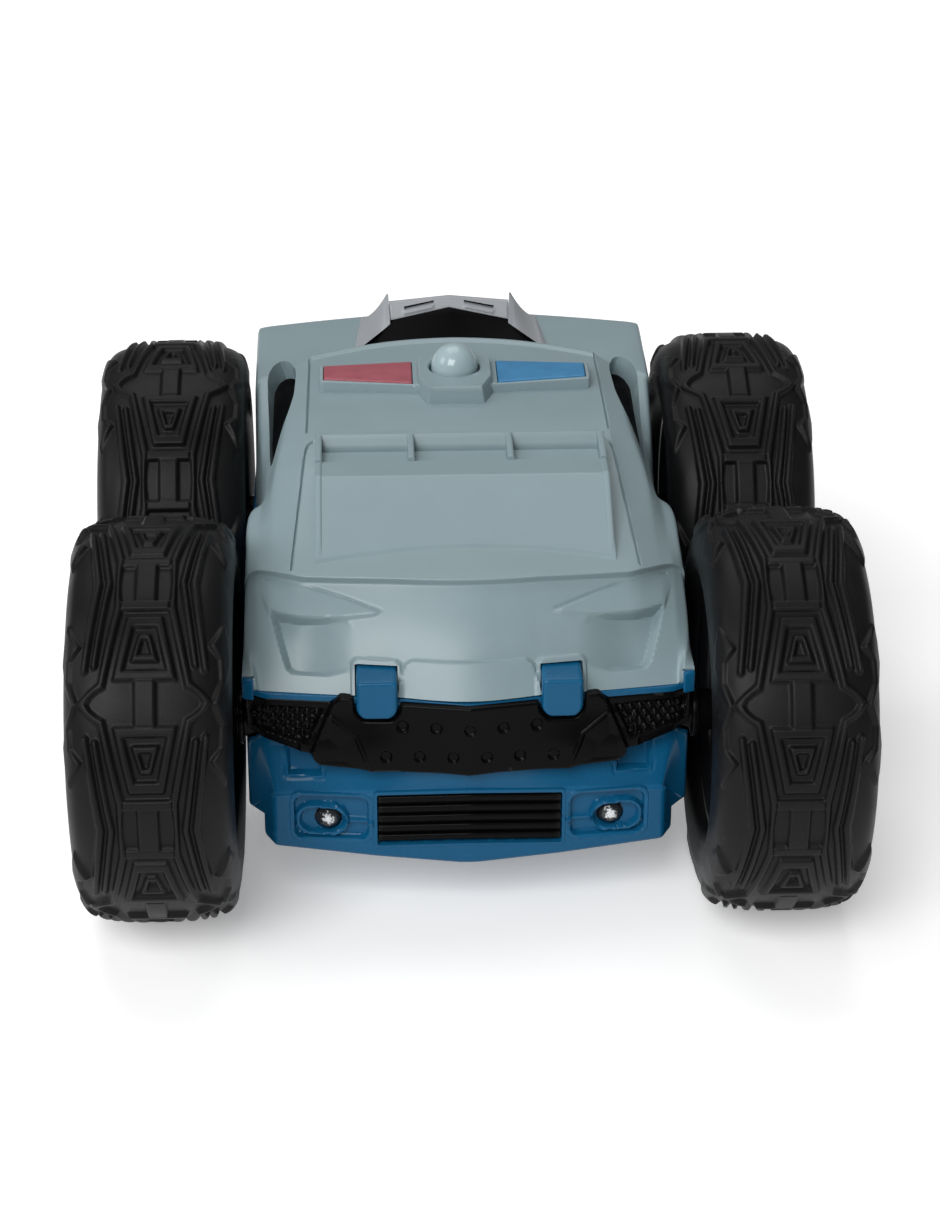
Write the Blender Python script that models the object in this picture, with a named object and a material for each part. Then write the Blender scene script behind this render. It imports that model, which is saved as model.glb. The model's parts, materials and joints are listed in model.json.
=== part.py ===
"""RC stunt car: one solid per piece, in metres.

The nose looks along -Y, +Z is up, and the origin is on the ground under the middle of the wheelbase.
Outlines and stations are drawn in millimetres on the standard car; along, across and above move
them with the wheelbase, the tub's width and the tub's height.
"""

import math

import bmesh
import bpy
from mathutils import Vector

MM = 0.001

# Driving sizes
WHEELBASE = 90.0 * MM
TUB_HALF = 44.6 * MM
TUB_TOP = 53.0 * MM
AXLE_Z = 40.8 * MM
TYRE_RADIUS = 41.0 * MM
TYRE_HALF_WIDTH = 16.25 * MM
WALL = 1.6 * MM

# Clearances
GAP = 0.3 * MM
SHAFT_GAP = 0.25 * MM
STUD_GAP = 0.35 * MM
BUSH_GAP = 0.35 * MM
WHEEL_GAP = 1.2 * MM
BUTTON_GAP = 0.55 * MM

# The standard car that the outlines are drawn on, in millimetres
DRAWN_WHEELBASE = 90.0
DRAWN_HALF = 44.6
DRAWN_TOP = 53.0


def along(y):
    """A drawn distance from the middle, stretched between the axles and shifted beyond them."""
    if abs(y) <= DRAWN_WHEELBASE / 2:
        return y * WHEELBASE / DRAWN_WHEELBASE
    return math.copysign(WHEELBASE / 2, y) + (y - math.copysign(DRAWN_WHEELBASE / 2, y)) * MM


def across(x):
    """A drawn distance from the centre plane, scaled with the tub's width."""
    return x * TUB_HALF / DRAWN_HALF


def above(z):
    """A drawn height, shifted with the top of the tub."""
    return TUB_TOP + (z - DRAWN_TOP) * MM


# Wheels and axles
TYRE_SIDES = 32
BEAD_RADIUS = 26.0 * MM
BEAD_INSET = 3.25 * MM
RIM_WALL = 2.0 * MM
RIM_SIDES = 24
DISC_INNER = 2.0 * MM
DISC_OUTER = 4.6 * MM
SPOKES = 5
SPOKE_WINDOW = [(10.0, -0.30), (21.4, -0.44), (22.2, 0.0), (21.4, 0.44), (10.0, 0.30)]
HUB_RADIUS = 6.0 * MM
HUB_OUTER = 6.0 * MM
HUB_GAP = 2.45 * MM
AXLE_RADIUS = 2.0 * MM
AXLE_INNER_X = 26.4 * MM
NUT_RADIUS = 4.6 * MM
NUT_LENGTH = 4.7 * MM
NUT_GRIP = 2.65 * MM
BUSH_RADIUS = 3.9 * MM
BUSH_PROUD = 3.0 * MM
BUSH_LENGTH = 6.6 * MM
WHEEL_X = TUB_HALF + WHEEL_GAP + TYRE_HALF_WIDTH
AXLE_OUTER_X = WHEEL_X + HUB_OUTER + GAP + NUT_GRIP
BUSH_OUTER_X = TUB_HALF + BUSH_PROUD
BUSH_INNER_X = BUSH_OUTER_X - BUSH_LENGTH
# Tyre section: inset from the side in millimetres, share of the height from bead to tread
TYRE_OUTSIDE = [(3.25, 0.0), (1.25, 0.107), (0.0, 0.40), (0.85, 0.72), (3.65, 0.92), (10.25, 1.0)]
TYRE_INSIDE = [(5.25, 0.0), (3.65, 0.667)]

# Gear trains to the rear wheels, one on each side
GEAR_X = 33.0 * MM
GEAR_WIDTH = 5.0 * MM
MODULE = 1.0 * MM
AXLE_TEETH = 30
CENTRE_TEETH = 12
WHEEL_TEETH = 32
PINION_TEETH = 8
FAST_MODULE = 0.75 * MM
FAST_X = 28.5 * MM
FAST_WIDTH = 3.0 * MM
PINION_EXTRA = 0.8 * MM
TOOTH_DEPTH = 1.25
TOOTH_HEIGHT = 0.75
TOOTH_ROOT_SHARE = 0.30
TOOTH_TIP_SHARE = 0.09
GEAR_NECK_RADIUS = 4.6 * MM
STUD_RADIUS = 1.9 * MM
STUD_END_X = 40.0 * MM
PLATE_X = 24.0 * MM
PLATE_THICK = 2.0 * MM
PLATE_BOSS_RADIUS = 4.2 * MM
COLLAR_RADIUS = 4.0 * MM
COLLAR_WIDTH = 3.0 * MM

# Motors
MOTOR_RADIUS = 10.0 * MM
MOTOR_FLAT = 7.7 * MM
MOTOR_LENGTH = 20.0 * MM
MOTOR_BOSS_RADIUS = 3.1 * MM
MOTOR_BOSS_HOLE = 3.6 * MM
SHAFT_RADIUS = 1.0 * MM
SHAFT_DEPTH = 7.5 * MM

# Lower shell
TUB_LOW = 21.5 * MM
TUB_FRONT_TOP = above(49.4)
TUB_FRONT_HALF = across(43.5)
PAN_LOW = 12.5 * MM
BLOCK_TOP = 30.0 * MM
BLOCK_BACK_Y = along(-42.0)
TUB_NOSE = [(0.0, -56.4), (14.0, -53.4), (40.5, -50.3), (44.6, -48.0)]
TUB_TAIL = [(0.0, 80.0), (32.0, 76.5), (40.5, 74.5), (44.6, 70.5)]
PAN_NOSE = [(0.0, -57.3), (18.6, -55.2), (37.0, -51.0), (41.5, -46.6)]
PAN_TAIL = [(0.0, 78.0), (30.0, 74.8), (37.0, 73.0), (41.5, 69.0)]
AHEAD_Y = along(-62.0)
BEHIND_NOSE_Y = along(-45.0)

# Clips that hook the lower shell over the front bumper, drawn as (y, z)
CLIP_X = across(18.3)
CLIP_HALF = 4.0 * MM
CLIP_TOP = above(56.6)
CLIP_NOTCH_LOW = above(42.9)
HOOK = [(-54.8, 44.0), (-53.0, 44.0), (-50.6, 47.0), (-50.6, 56.4), (-57.0, 56.4), (-58.6, 54.6),
        (-58.6, 45.6), (-57.2, 45.2), (-57.2, 52.2), (-54.8, 52.2)]

# Lamps, grille, bumpers
LAMP_X = across(28.4)
LAMP_Z = 22.6 * MM
LAMP_RADIUS = 2.5 * MM
LAMP_FLANGE = 0.5 * MM
LAMP_FLANGE_THICK = 2.5 * MM
LAMP_SEAT = 1.3 * MM
LAMP_PROUD = 0.4 * MM
GRILLE_HALF = across(18.6)
GRILLE_LOW = 17.2 * MM
GRILLE_HIGH = 29.0 * MM
GRILLE_BARS = 5
GRILLE_BAR_SHARE = 0.56
GRILLE_PLATE = (1.1 * MM, 2.2 * MM)
GRILLE_BAR = (0.2 * MM, 1.6 * MM)
# Front bumper stations: top x and z, low x and z, how far it stands proud
BUMPER_STATIONS = [
    (0.0, 48.7, 0.0, 33.6, 2.6),
    (13.9, 48.7, 14.2, 34.6, 2.6),
    (19.8, 48.7, 20.2, 35.4, 2.6),
    (26.4, 48.7, 30.4, 37.2, 2.4),
    (26.9, 48.5, 31.4, 39.6, 1.2),
    (40.0, 48.6, 40.0, 40.8, 1.2),
    (42.6, 48.6, 42.6, 41.6, 1.2),
]
REAR_BUMPER_STATIONS = [(0.0, 47.0, 36.0), (16.0, 47.0, 36.0), (32.0, 46.5, 36.5), (40.5, 45.0, 38.0)]
REAR_BUMPER_THICK = 2.4 * MM

# Battery, its door and the power switch
DOOR_HALF_X = 15.6 * MM
DOOR_HALF_Y = 29.0 * MM
DOOR_RIB_GAP = 0.9 * MM
DOOR_RIB_THICK = 1.5 * MM
DOOR_RIB_HALF_Y = 28.0 * MM
DOOR_RIB_HIGH = 26.0 * MM
TAB_X = 8.0 * MM
TAB_HALF = 3.0 * MM
TAB_THICK = 1.0 * MM
TAB_REACH = 2.5 * MM
TONGUE_HALF = 5.7 * MM
TONGUE_LENGTH = 8.6 * MM
TONGUE_THICK = 0.5 * MM
SCREW_Y = DOOR_HALF_Y + 4.5 * MM
SCREW_RADIUS = 1.2 * MM
SCREW_HEAD_RADIUS = 2.6 * MM
SCREW_HEAD_HIGH = 0.9 * MM
SCREW_LENGTH = 6.1 * MM
SCREW_SLOT_HALF = 1.7 * MM
BOSS_RADIUS = 3.6 * MM
BOSS_WALL = 1.8 * MM
BATTERY_HALF_X = 14.4 * MM
BATTERY_HALF_Y = 26.0 * MM
BATTERY_TO_MOTOR = 3.7 * MM
BATTERY_TO_DOOR = 0.5 * MM
SWITCH_Y = along(-37.0)
SWITCH_HALF_X = 9.0 * MM
SWITCH_HALF_Y = 3.5 * MM
SWITCH_HIGH = 5.0 * MM
SWITCH_FOOT = 1.6 * MM
KNOB_HALF = 2.0 * MM
KNOB_HALF_Y = 1.5 * MM
KNOB_SLIDE_HALF = 4.5 * MM
KNOB_SLIDE_HALF_Y = 3.0 * MM
KNOB_SLIDE_THICK = 0.9 * MM
KNOB_PROUD = 1.0 * MM
SWITCH_TRAVEL = 4.0 * MM

# Circuit board, with its larger components as (x, y, half x, half y, height)
BOARD_LOW = above(57.0)
BOARD_THICK = 1.5 * MM
BOARD_HALF_X = 22.0 * MM
BOARD_Y = (17.0 * MM, 49.0 * MM)
BOARD_LEDGE_X = 19.5 * MM
BOARD_LEDGE_Y = (20.0 * MM, 46.0 * MM)
BOARD_LEDGE_THICK = 2.3 * MM
COMPONENTS = [(-8, 33, 5, 3.5, 1.6), (9, 38, 3, 3, 1.4), (12, 25, 2.5, 2.5, 7.0), (-14, 24, 3, 2, 4.0)]

# Light bar and its button
BAR_FRONT_Y = 25.5 * MM
BAR_POD_HALF = 8.3 * MM
BAR_POD_NOSE = 5.2 * MM
BAR_POD_CORNER = 4.0 * MM
BAR_POD_TOP = above(81.8)
BAR_ARM_TOP = above(80.1)
BAR_ARM_START = 7.0 * MM
BAR_ARM_END = 29.6 * MM
BAR_ARM_ROOT = (29.6 * MM, 43.2 * MM)
BAR_ARM_TIP = (32.4 * MM, 41.4 * MM)
LENS_START = 9.2 * MM
LENS_RIM = 0.8 * MM
LENS_THICK = 0.9 * MM
BUTTON_Y = 36.0 * MM
BUTTON_RADIUS = 5.1 * MM
BUTTON_TRAVEL = 1.5 * MM
STEM_RADIUS = 1.8 * MM
STEM_GAP = 0.7 * MM
STEM_LOW = above(73.3)
CONTACT_LOW = above(67.0)
CONTACT_THICK = 1.2 * MM
CONTACT_HALF_X = 11.0 * MM
CONTACT_HALF_Y = 4.0 * MM
CONTACT_KEY_HALF = 3.0 * MM
POST_X = 8.5 * MM
POST_HALF = 1.5 * MM
POST_TOP = above(77.6)

# Scoop on the bonnet
SCOOP_HALF = 31.0 * MM
SCOOP_WALL = 1.9 * MM
SCOOP_BAYS = 3
SCOOP_SHARES = (-1.0, -0.66, -0.33, 0.0, 0.33, 0.66, 1.0)
SCOOP_FRONT_Y = along(-31.0)
SCOOP_BACK_Y = along(4.8)
SCOOP_TOP = above(81.0)
SCOOP_RIDGES = [(along(-14.5), above(79.0)), (along(-8.0), above(79.9)), (SCOOP_BACK_Y, SCOOP_TOP)]
SCOOP_FRONT_EDGE = 0.5 * MM
SCOOP_BAY_FRONT_Y = along(-7.4)
SCOOP_BAY_FLOOR = above(77.9)
SCOOP_BACK_WALL = 1.5 * MM

# Windows, drawn from above
SIDE_WINDOW = [(37.6, 10.0), (39.4, 8.0), (39.9, 30.0), (39.6, 46.0), (38.6, 50.0), (37.0, 49.0),
               (36.9, 30.0)]
GLASS_X = (36.4, 40.2)
GLASS_STATIONS = (5.0, 15.0, 25.0, 35.0, 44.0, 51.0)
GLASS_DEPTH = WALL + 0.35 * MM
GLASS_THICK = 1.2 * MM
REAR_WINDOW = [(21.4, 62.2), (21.4, 65.0), (13.0, 78.2), (13.0, 80.6)]
REAR_WINDOW_THICK = 0.7 * MM

# Spoiler: wing stations (x, low z, high z), then outlines drawn as (y, z)
WING_Y = along(75.0)
WING_CHORD = 6.0 * MM
WING_THICK = 1.4 * MM
WING_STATIONS = [(-14.2, 77.4, 81.6), (-7.0, 78.2, 82.2), (0.0, 79.0, 82.7), (7.0, 78.2, 82.2),
                 (14.2, 77.4, 81.6)]
FIN_X = (13.0 * MM, 15.2 * MM)
FIN = [(70.5, 76.9), (78.6, 77.6), (79.4, 83.1), (76.0, 83.1), (71.6, 79.6)]
LEG_TOP_X = 13.4 * MM
LEG_TOP = [(71.0, 77.2), (78.4, 77.8), (78.0, 80.6), (73.0, 79.8)]
LEG_FOOT = [(24.6, 65.0, 0.0), (22.4, 74.6, 0.4), (22.4, 74.6, 1.8), (24.6, 66.0, 1.4)]

# Side plate of a gear train, drawn as (y, z) above its straight lower edge
PLATE_FRONT = [(-49.3, 34.0), (-38.0, 25.0)]
PLATE_LOW_Y = (-38.0, 52.0)
PLATE_BACK = [(58.0, 28.0)]
PLATE_TOP_Y = (58.0, 16.0)
PLATE_SLOPE = [(6.0, 52.0), (-49.3, 48.0)]

# Upper shell sections: distance along the car at the centre, backward sweep of the sides, nose peak,
# then (x, z) of the feature lines: centre, mid, groove, shoulder, belt, side top, side bottom.
UPPER_SECTIONS = [
    (-55.3, 5.0, 1.6,
     [(0, 50.0), (15, 50.0), (33.0, 50.0), (39.3, 50.0), (41.9, 50.0), (42.4, 53.3), (44.4, 53.3)]),
    (-48.9, 5.4, 0.8,
     [(0, 59.6), (15, 59.5), (33.6, 59.0), (39.4, 58.5), (41.7, 58.0), (43.7, 56.8), (44.4, 53.3)]),
    (-42.0, 6.0, 0.0,
     [(0, 68.2), (15, 68.1), (34.4, 67.4), (39.4, 66.5), (41.6, 65.8), (43.7, 63.8), (44.4, 53.3)]),
    (-40.6, 6.0, 0.0,
     [(0, 69.5), (15, 69.4), (34.4, 68.6), (39.2, 67.4), (41.5, 66.4), (43.8, 64.8), (44.4, 53.3)]),
    (-28.0, 5.0, 0.0,
     [(0, 71.2), (15, 71.0), (33.6, 70.4), (39.0, 69.0), (41.4, 67.2), (43.8, 66.4), (44.4, 53.3)]),
    (-9.0, 2.0, 0.0,
     [(0, 74.3), (15, 74.1), (32.8, 73.5), (39.2, 71.6), (41.4, 68.2), (43.8, 67.2), (44.4, 53.3)]),
    (2.0, 0.0, 0.0,
     [(0, 76.3), (15, 76.1), (32.4, 75.5), (38.8, 73.3), (41.0, 68.6), (42.4, 66.4), (43.2, 53.3)]),
    (15.0, 0.0, 0.0,
     [(0, 77.9), (15, 77.7), (32.2, 77.1), (37.4, 75.2), (40.6, 69.5), (42.2, 66.8), (43.2, 53.3)]),
    (35.0, -2.0, 0.0,
     [(0, 78.4), (15, 78.2), (32.0, 77.6), (36.2, 76.1), (40.4, 71.2), (43.2, 70.4), (44.2, 53.3)]),
    (59.5, -11.5, 0.0,
     [(0, 78.1), (15, 77.9), (31.8, 77.2), (35.6, 75.8), (40.3, 74.0), (43.4, 73.0), (44.5, 53.3)]),
    (60.6, -11.5, 0.0,
     [(0, 74.6), (15, 74.6), (31.8, 74.7), (35.8, 74.7), (40.3, 74.2), (43.4, 73.2), (44.5, 53.3)]),
    (83.0, -7.0, 0.0,
     [(0, 75.6), (15, 75.6), (32.0, 75.4), (36.2, 75.2), (40.3, 74.8), (43.4, 73.6), (44.5, 53.3)]),
    (83.01, -7.0, 0.0,
     [(0, 53.3), (15, 53.3), (32.0, 53.3), (36.2, 53.3), (40.3, 53.3), (43.4, 53.3), (44.5, 53.3)]),
]
SWEEP_REACH = 44.0
SWEEP_POWER = 1.2
PEAK_REACH = 15.0
SHARP_ROWS = {0, 2, 3, 9, 10, 11, 12}
LONG_SPAN = 9.0
ROWS_PER_SPAN = 2

# Materials: colour, roughness, metallic
MATERIALS = {
    "body_grey": ((0.30, 0.39, 0.42), 0.45, 0.0),
    "shell_blue": ((0.012, 0.10, 0.23), 0.45, 0.0),
    "black_plastic": ((0.012, 0.012, 0.013), 0.5, 0.0),
    "rubber": ((0.018, 0.018, 0.018), 0.7, 0.0),
    "light_grey": ((0.55, 0.58, 0.60), 0.45, 0.0),
    "lamp_red": ((0.43, 0.09, 0.12), 0.3, 0.0),
    "lamp_blue": ((0.05, 0.26, 0.51), 0.3, 0.0),
    "lamp_clear": ((0.75, 0.78, 0.80), 0.15, 0.0),
    "steel": ((0.55, 0.55, 0.56), 0.35, 1.0),
    "gear_white": ((0.75, 0.73, 0.66), 0.5, 0.0),
    "board_green": ((0.03, 0.16, 0.06), 0.5, 0.0),
    "battery_wrap": ((0.03, 0.25, 0.12), 0.35, 0.0),
}
SHARP_ANGLE = math.radians(30)


def material(name):
    """The named material, made on first use."""
    found = bpy.data.materials.get(name)
    if found is None:
        colour, roughness, metallic = MATERIALS[name]
        found = bpy.data.materials.new(name)
        found.use_nodes = True
        shader = found.node_tree.nodes["Principled BSDF"]
        shader.inputs["Base Color"].default_value = (*colour, 1.0)
        shader.inputs["Roughness"].default_value = roughness
        shader.inputs["Metallic"].default_value = metallic
    return found


def car_root():
    """The empty that carries every piece, at the height that sets the tyres on the ground."""
    root = bpy.data.objects.get("car")
    if root is None:
        root = bpy.data.objects.new("car", None)
        root.location = (0, 0, TYRE_RADIUS * math.cos(math.pi / TYRE_SIDES) - AXLE_Z)
        bpy.context.scene.collection.objects.link(root)
    return root


def pivot(name, at):
    """An empty on a joint's axis, the parent of the pieces that move on it."""
    empty = bpy.data.objects.new(name, None)
    empty.location = at
    empty.parent = car_root()
    bpy.context.scene.collection.objects.link(empty)
    return empty


def solid(name, shape, skin=None, parent=None):
    """A mesh object from (vertices, faces) in the car's frame, its normals turned outward."""
    origin = parent.location.copy() if parent else Vector((0, 0, 0))
    mesh = bpy.data.meshes.new(name)
    mesh.from_pydata([tuple(Vector(v) - origin) for v in shape[0]], [], shape[1])
    bm = bmesh.new()
    bm.from_mesh(mesh)
    bmesh.ops.remove_doubles(bm, verts=bm.verts, dist=1e-7)
    bmesh.ops.recalc_face_normals(bm, faces=bm.faces)
    bmesh.ops.triangulate(bm, faces=bm.faces)
    bm.to_mesh(mesh)
    bm.free()
    obj = bpy.data.objects.new(name, mesh)
    obj.parent = parent if parent else car_root()
    bpy.context.scene.collection.objects.link(obj)
    if skin:
        mesh.materials.append(material(skin))
    return obj


def settle(obj):
    """Replace the mesh by the result of the object's modifiers."""
    graph = bpy.context.evaluated_depsgraph_get()
    graph.update()
    mesh = bpy.data.meshes.new_from_object(obj.evaluated_get(graph))
    obj.modifiers.clear()
    bm = bmesh.new()
    bm.from_mesh(mesh)
    bmesh.ops.remove_doubles(bm, verts=bm.verts, dist=1e-6)
    bmesh.ops.triangulate(bm, faces=bm.faces)
    bm.to_mesh(mesh)
    bm.free()
    obj.data = mesh


def combine(target, shape, operation):
    """Join a shape to a solid (UNION) or cut it away (DIFFERENCE)."""
    tool = solid("tool", shape)
    bpy.context.view_layer.update()
    boolean = target.modifiers.new("combine", "BOOLEAN")
    boolean.operation = operation
    boolean.solver = "EXACT"
    boolean.object = tool
    settle(target)
    bpy.data.objects.remove(tool)


def join(target, shape):
    combine(target, shape, "UNION")


def cut(target, shape):
    combine(target, shape, "DIFFERENCE")


def axis_point(axis, u, v, w):
    """A point from two coordinates across an axis and one along it."""
    if axis == "x":
        return (w, u, v)
    if axis == "y":
        return (u, w, v)
    return (u, v, w)


def prism(outline, axis, low, high):
    """An outline across an axis, drawn out along it between two values or functions of its points."""
    count = len(outline)
    lows = [low(u, v) if callable(low) else low for u, v in outline]
    highs = [high(u, v) if callable(high) else high for u, v in outline]
    verts = [axis_point(axis, u, v, w) for (u, v), w in zip(outline, lows)]
    verts += [axis_point(axis, u, v, w) for (u, v), w in zip(outline, highs)]
    faces = [list(range(count)), list(range(count, 2 * count))]
    for i in range(count):
        j = (i + 1) % count
        faces.append([i, j, count + j, count + i])
    return verts, faces


def box(x0, x1, y0, y1, z0, z1):
    return prism([(x0, y0), (x1, y0), (x1, y1), (x0, y1)], "z", z0, z1)


def centred_box(x, y, half_x, half_y, z0, z1):
    return box(x - half_x, x + half_x, y - half_y, y + half_y, z0, z1)


def circle(radius, sides, centre=(0.0, 0.0), turn=0.0):
    """A many-sided outline whose corners lie on the radius."""
    points = []
    for i in range(sides):
        angle = 2 * math.pi * i / sides + turn
        points.append((centre[0] + radius * math.cos(angle), centre[1] + radius * math.sin(angle)))
    return points


def rod(axis, centre, radius, low, high, sides=12):
    return prism(circle(radius, sides, centre), axis, low, high)


def lathe(profile, axis, centre, sides, turn=0.0):
    """A closed profile of (along, radius) points turned about an axis. Points on it become poles."""
    verts = []
    rings = []
    for distance, radius in profile:
        if radius < 1e-9:
            rings.append([len(verts)] * sides)
            verts.append(axis_point(axis, centre[0], centre[1], distance))
            continue
        rings.append(list(range(len(verts), len(verts) + sides)))
        for u, v in circle(radius, sides, centre, turn):
            verts.append(axis_point(axis, u, v, distance))
    faces = []
    for i in range(len(profile)):
        near = rings[i]
        far = rings[(i + 1) % len(profile)]
        for k in range(sides):
            m = (k + 1) % sides
            corner = list(dict.fromkeys([near[k], near[m], far[m], far[k]]))
            if len(corner) > 2:
                faces.append(corner)
    return verts, faces


def mirrored(shape, side):
    """A shape drawn for the right side, moved to the side asked for."""
    return [(side * x, y, z) for x, y, z in shape[0]], shape[1]


def slab(quads):
    """A closed solid through a list of four-cornered stations."""
    verts = [p for quad in quads for p in quad]
    faces = [[0, 1, 2, 3]]
    for i in range(len(quads) - 1):
        a = 4 * i
        b = a + 4
        for k in range(4):
            m = (k + 1) % 4
            faces.append([a + k, a + m, b + m, b + k])
    last = 4 * (len(quads) - 1)
    faces.append([last, last + 1, last + 2, last + 3])
    return verts, faces


def gear_outline(teeth, module, centre, tooth_angle):
    """Straight-flanked teeth with one tooth pointing along tooth_angle."""
    pitch = module * teeth / 2
    root = pitch - TOOTH_DEPTH * module
    tip = pitch + TOOTH_HEIGHT * module
    flank = [(root, -TOOTH_ROOT_SHARE), (tip, -TOOTH_TIP_SHARE), (tip, TOOTH_TIP_SHARE),
             (root, TOOTH_ROOT_SHARE)]
    step = 2 * math.pi / teeth
    points = []
    for i in range(teeth):
        for radius, share in flank:
            angle = tooth_angle + (i + share) * step
            points.append((centre[0] + radius * math.cos(angle), centre[1] + radius * math.sin(angle)))
    return points


def placed(drawn):
    """Drawn (x, y) points in the car's frame."""
    return [(across(x), along(y)) for x, y in drawn]


def side_placed(drawn):
    """Drawn (y, z) points in the car's frame."""
    return [(along(y), above(z)) for y, z in drawn]


def wall_y(x, drawn):
    """The place of a nose or tail wall at x, by straight lines through its drawn points."""
    knots = placed(drawn)
    x = abs(x)
    for (xa, ya), (xb, yb) in zip(knots, knots[1:]):
        if x <= xb:
            return ya + (yb - ya) * (x - xa) / (xb - xa)
    return knots[-1][1]


def plan_outline(front, back, inset=0.0):
    """The outline of a shell seen from above, moved inward by a wall thickness."""
    half = front[-1][0]
    scale = (half - inset) / half
    right = [(x * scale, y + inset) for x, y in front]
    right += [(x * scale, y - inset) for x, y in reversed(back)]
    left = [(-x, y) for x, y in reversed(right) if x > 1e-9]
    return right + left


def tangent(i, value):
    """The slope of a section value across the sections on both sides of section i."""
    a = max(i - 1, 0)
    b = min(i + 1, len(UPPER_SECTIONS) - 1)
    span = UPPER_SECTIONS[b][0] - UPPER_SECTIONS[a][0]
    return (value(b) - value(a)) / span


def blend(i, t, value):
    """A section value between section i and the next, straight at a sharp row and smooth elsewhere."""
    va = value(i)
    vb = value(i + 1)
    span = UPPER_SECTIONS[i + 1][0] - UPPER_SECTIONS[i][0]
    straight = (vb - va) / span
    ta = straight if i in SHARP_ROWS else tangent(i, value)
    tb = straight if i + 1 in SHARP_ROWS else tangent(i + 1, value)
    h1 = 2 * t**3 - 3 * t**2 + 1
    h2 = t**3 - 2 * t**2 + t
    return h1 * va + h2 * span * ta + (1 - h1) * vb + (t**3 - t**2) * span * tb


def section_at(i, t):
    """The upper shell's section a share t of the way from section i to the next."""
    centre = blend(i, t, lambda k: UPPER_SECTIONS[k][0])
    sweep = blend(i, t, lambda k: UPPER_SECTIONS[k][1])
    peak = blend(i, t, lambda k: UPPER_SECTIONS[k][2])
    row = []
    for line in range(len(UPPER_SECTIONS[0][3])):
        x = blend(i, t, lambda k: UPPER_SECTIONS[k][3][line][0])
        z = blend(i, t, lambda k: UPPER_SECTIONS[k][3][line][1])
        y = centre + sweep * (x / SWEEP_REACH) ** SWEEP_POWER - peak * max(0.0, 1 - x / PEAK_REACH)
        row.append(Vector((across(x), along(y), above(z))))
    return row


def shell_rows():
    """Rows of points on the upper shell's outside, the long gaps between sections split."""
    rows = []
    last = len(UPPER_SECTIONS) - 1
    for i in range(last):
        steps = ROWS_PER_SPAN if UPPER_SECTIONS[i + 1][0] - UPPER_SECTIONS[i][0] > LONG_SPAN else 1
        for k in range(steps):
            rows.append(section_at(i, k / steps))
    rows.append(section_at(last - 1, 1.0))
    return rows


def height_in(tri, x, y):
    """The height of a triangle over a place, or None outside it."""
    a, b, c = tri
    area = (b.x - a.x) * (c.y - a.y) - (c.x - a.x) * (b.y - a.y)
    if abs(area) < 1e-14:
        return None
    u = ((x - a.x) * (c.y - a.y) - (c.x - a.x) * (y - a.y)) / area
    v = ((b.x - a.x) * (y - a.y) - (x - a.x) * (b.y - a.y)) / area
    if u < -1e-6 or v < -1e-6 or u + v > 1 + 1e-6:
        return None
    return a.z + u * (b.z - a.z) + v * (c.z - a.z)


ROWS = shell_rows()


def roof(x, y):
    """The height of the upper shell's outside at a place."""
    x = abs(x)
    heights = []
    for near, far in zip(ROWS, ROWS[1:]):
        for c in range(len(near) - 1):
            quad = [near[c], near[c + 1], far[c + 1], far[c]]
            heights.append(height_in((quad[0], quad[1], quad[2]), x, y))
            heights.append(height_in((quad[0], quad[2], quad[3]), x, y))
    return max(h for h in heights if h is not None)


def on_roof(x, y):
    """The height at which a piece rests on the upper shell."""
    return roof(x, y) + GAP


def both_halves(row):
    """A row of the right half with its mirror image in front of it."""
    return [Vector((-p.x, p.y, p.z)) for p in reversed(row[1:])] + list(row)


def sheet(rows):
    """A grid of quads over rows of equal length."""
    width = len(rows[0])
    verts = [tuple(p) for row in rows for p in row]
    faces = []
    for r in range(len(rows) - 1):
        for c in range(width - 1):
            a = r * width + c
            faces.append([a, a + 1, a + width + 1, a + width])
    return verts, faces


def thickened(name, shape, thickness, skin):
    """An open sheet given a wall on its inner side. Its rim stays level."""
    obj = solid(name, shape, skin)
    bm = bmesh.new()
    bm.from_mesh(obj.data)
    if sum(f.normal.z * f.calc_area() for f in bm.faces) < 0:
        bmesh.ops.reverse_faces(bm, faces=bm.faces)
    bm.normal_update()
    outer = list(bm.faces)
    rim = [(e.verts[0], e.verts[1]) for e in bm.edges if e.is_boundary]
    edge_verts = {v for pair in rim for v in pair}
    inner = {}
    for vert in list(bm.verts):
        inward = -vert.normal
        if vert in edge_verts:
            inward = Vector((inward.x, inward.y, 0)).normalized()
        inner[vert] = bm.verts.new(vert.co + inward * thickness)
    for face in outer:
        bm.faces.new([inner[v] for v in reversed(face.verts)])
    for a, b in rim:
        bm.faces.new([a, b, inner[b], inner[a]])
    bmesh.ops.recalc_face_normals(bm, faces=bm.faces)
    bmesh.ops.triangulate(bm, faces=bm.faces)
    bm.to_mesh(obj.data)
    bm.free()
    return obj


def make_upper_shell():
    """The body top, cut for the clips, the side windows and the button, with posts for its contact."""
    shell = thickened("upper_shell", sheet([both_halves(r) for r in ROWS]), WALL, "body_grey")
    notch = CLIP_HALF + GAP
    for side in (-1, 1):
        x = side * CLIP_X
        cut(shell, box(x - notch, x + notch, AHEAD_Y, BEHIND_NOSE_Y, CLIP_NOTCH_LOW, CLIP_TOP + GAP))
        slot = [(side * x, y) for x, y in placed(SIDE_WINDOW)]
        cut(shell, prism(slot, "z", above(60.0), above(82.0)))
        post_low = CONTACT_LOW + CONTACT_THICK + GAP
        join(shell, centred_box(side * POST_X, BUTTON_Y, POST_HALF, POST_HALF, post_low, POST_TOP))
    cut(shell, rod("z", (0, BUTTON_Y), STEM_RADIUS + STEM_GAP, above(70.0), above(82.0), 16))


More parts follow.
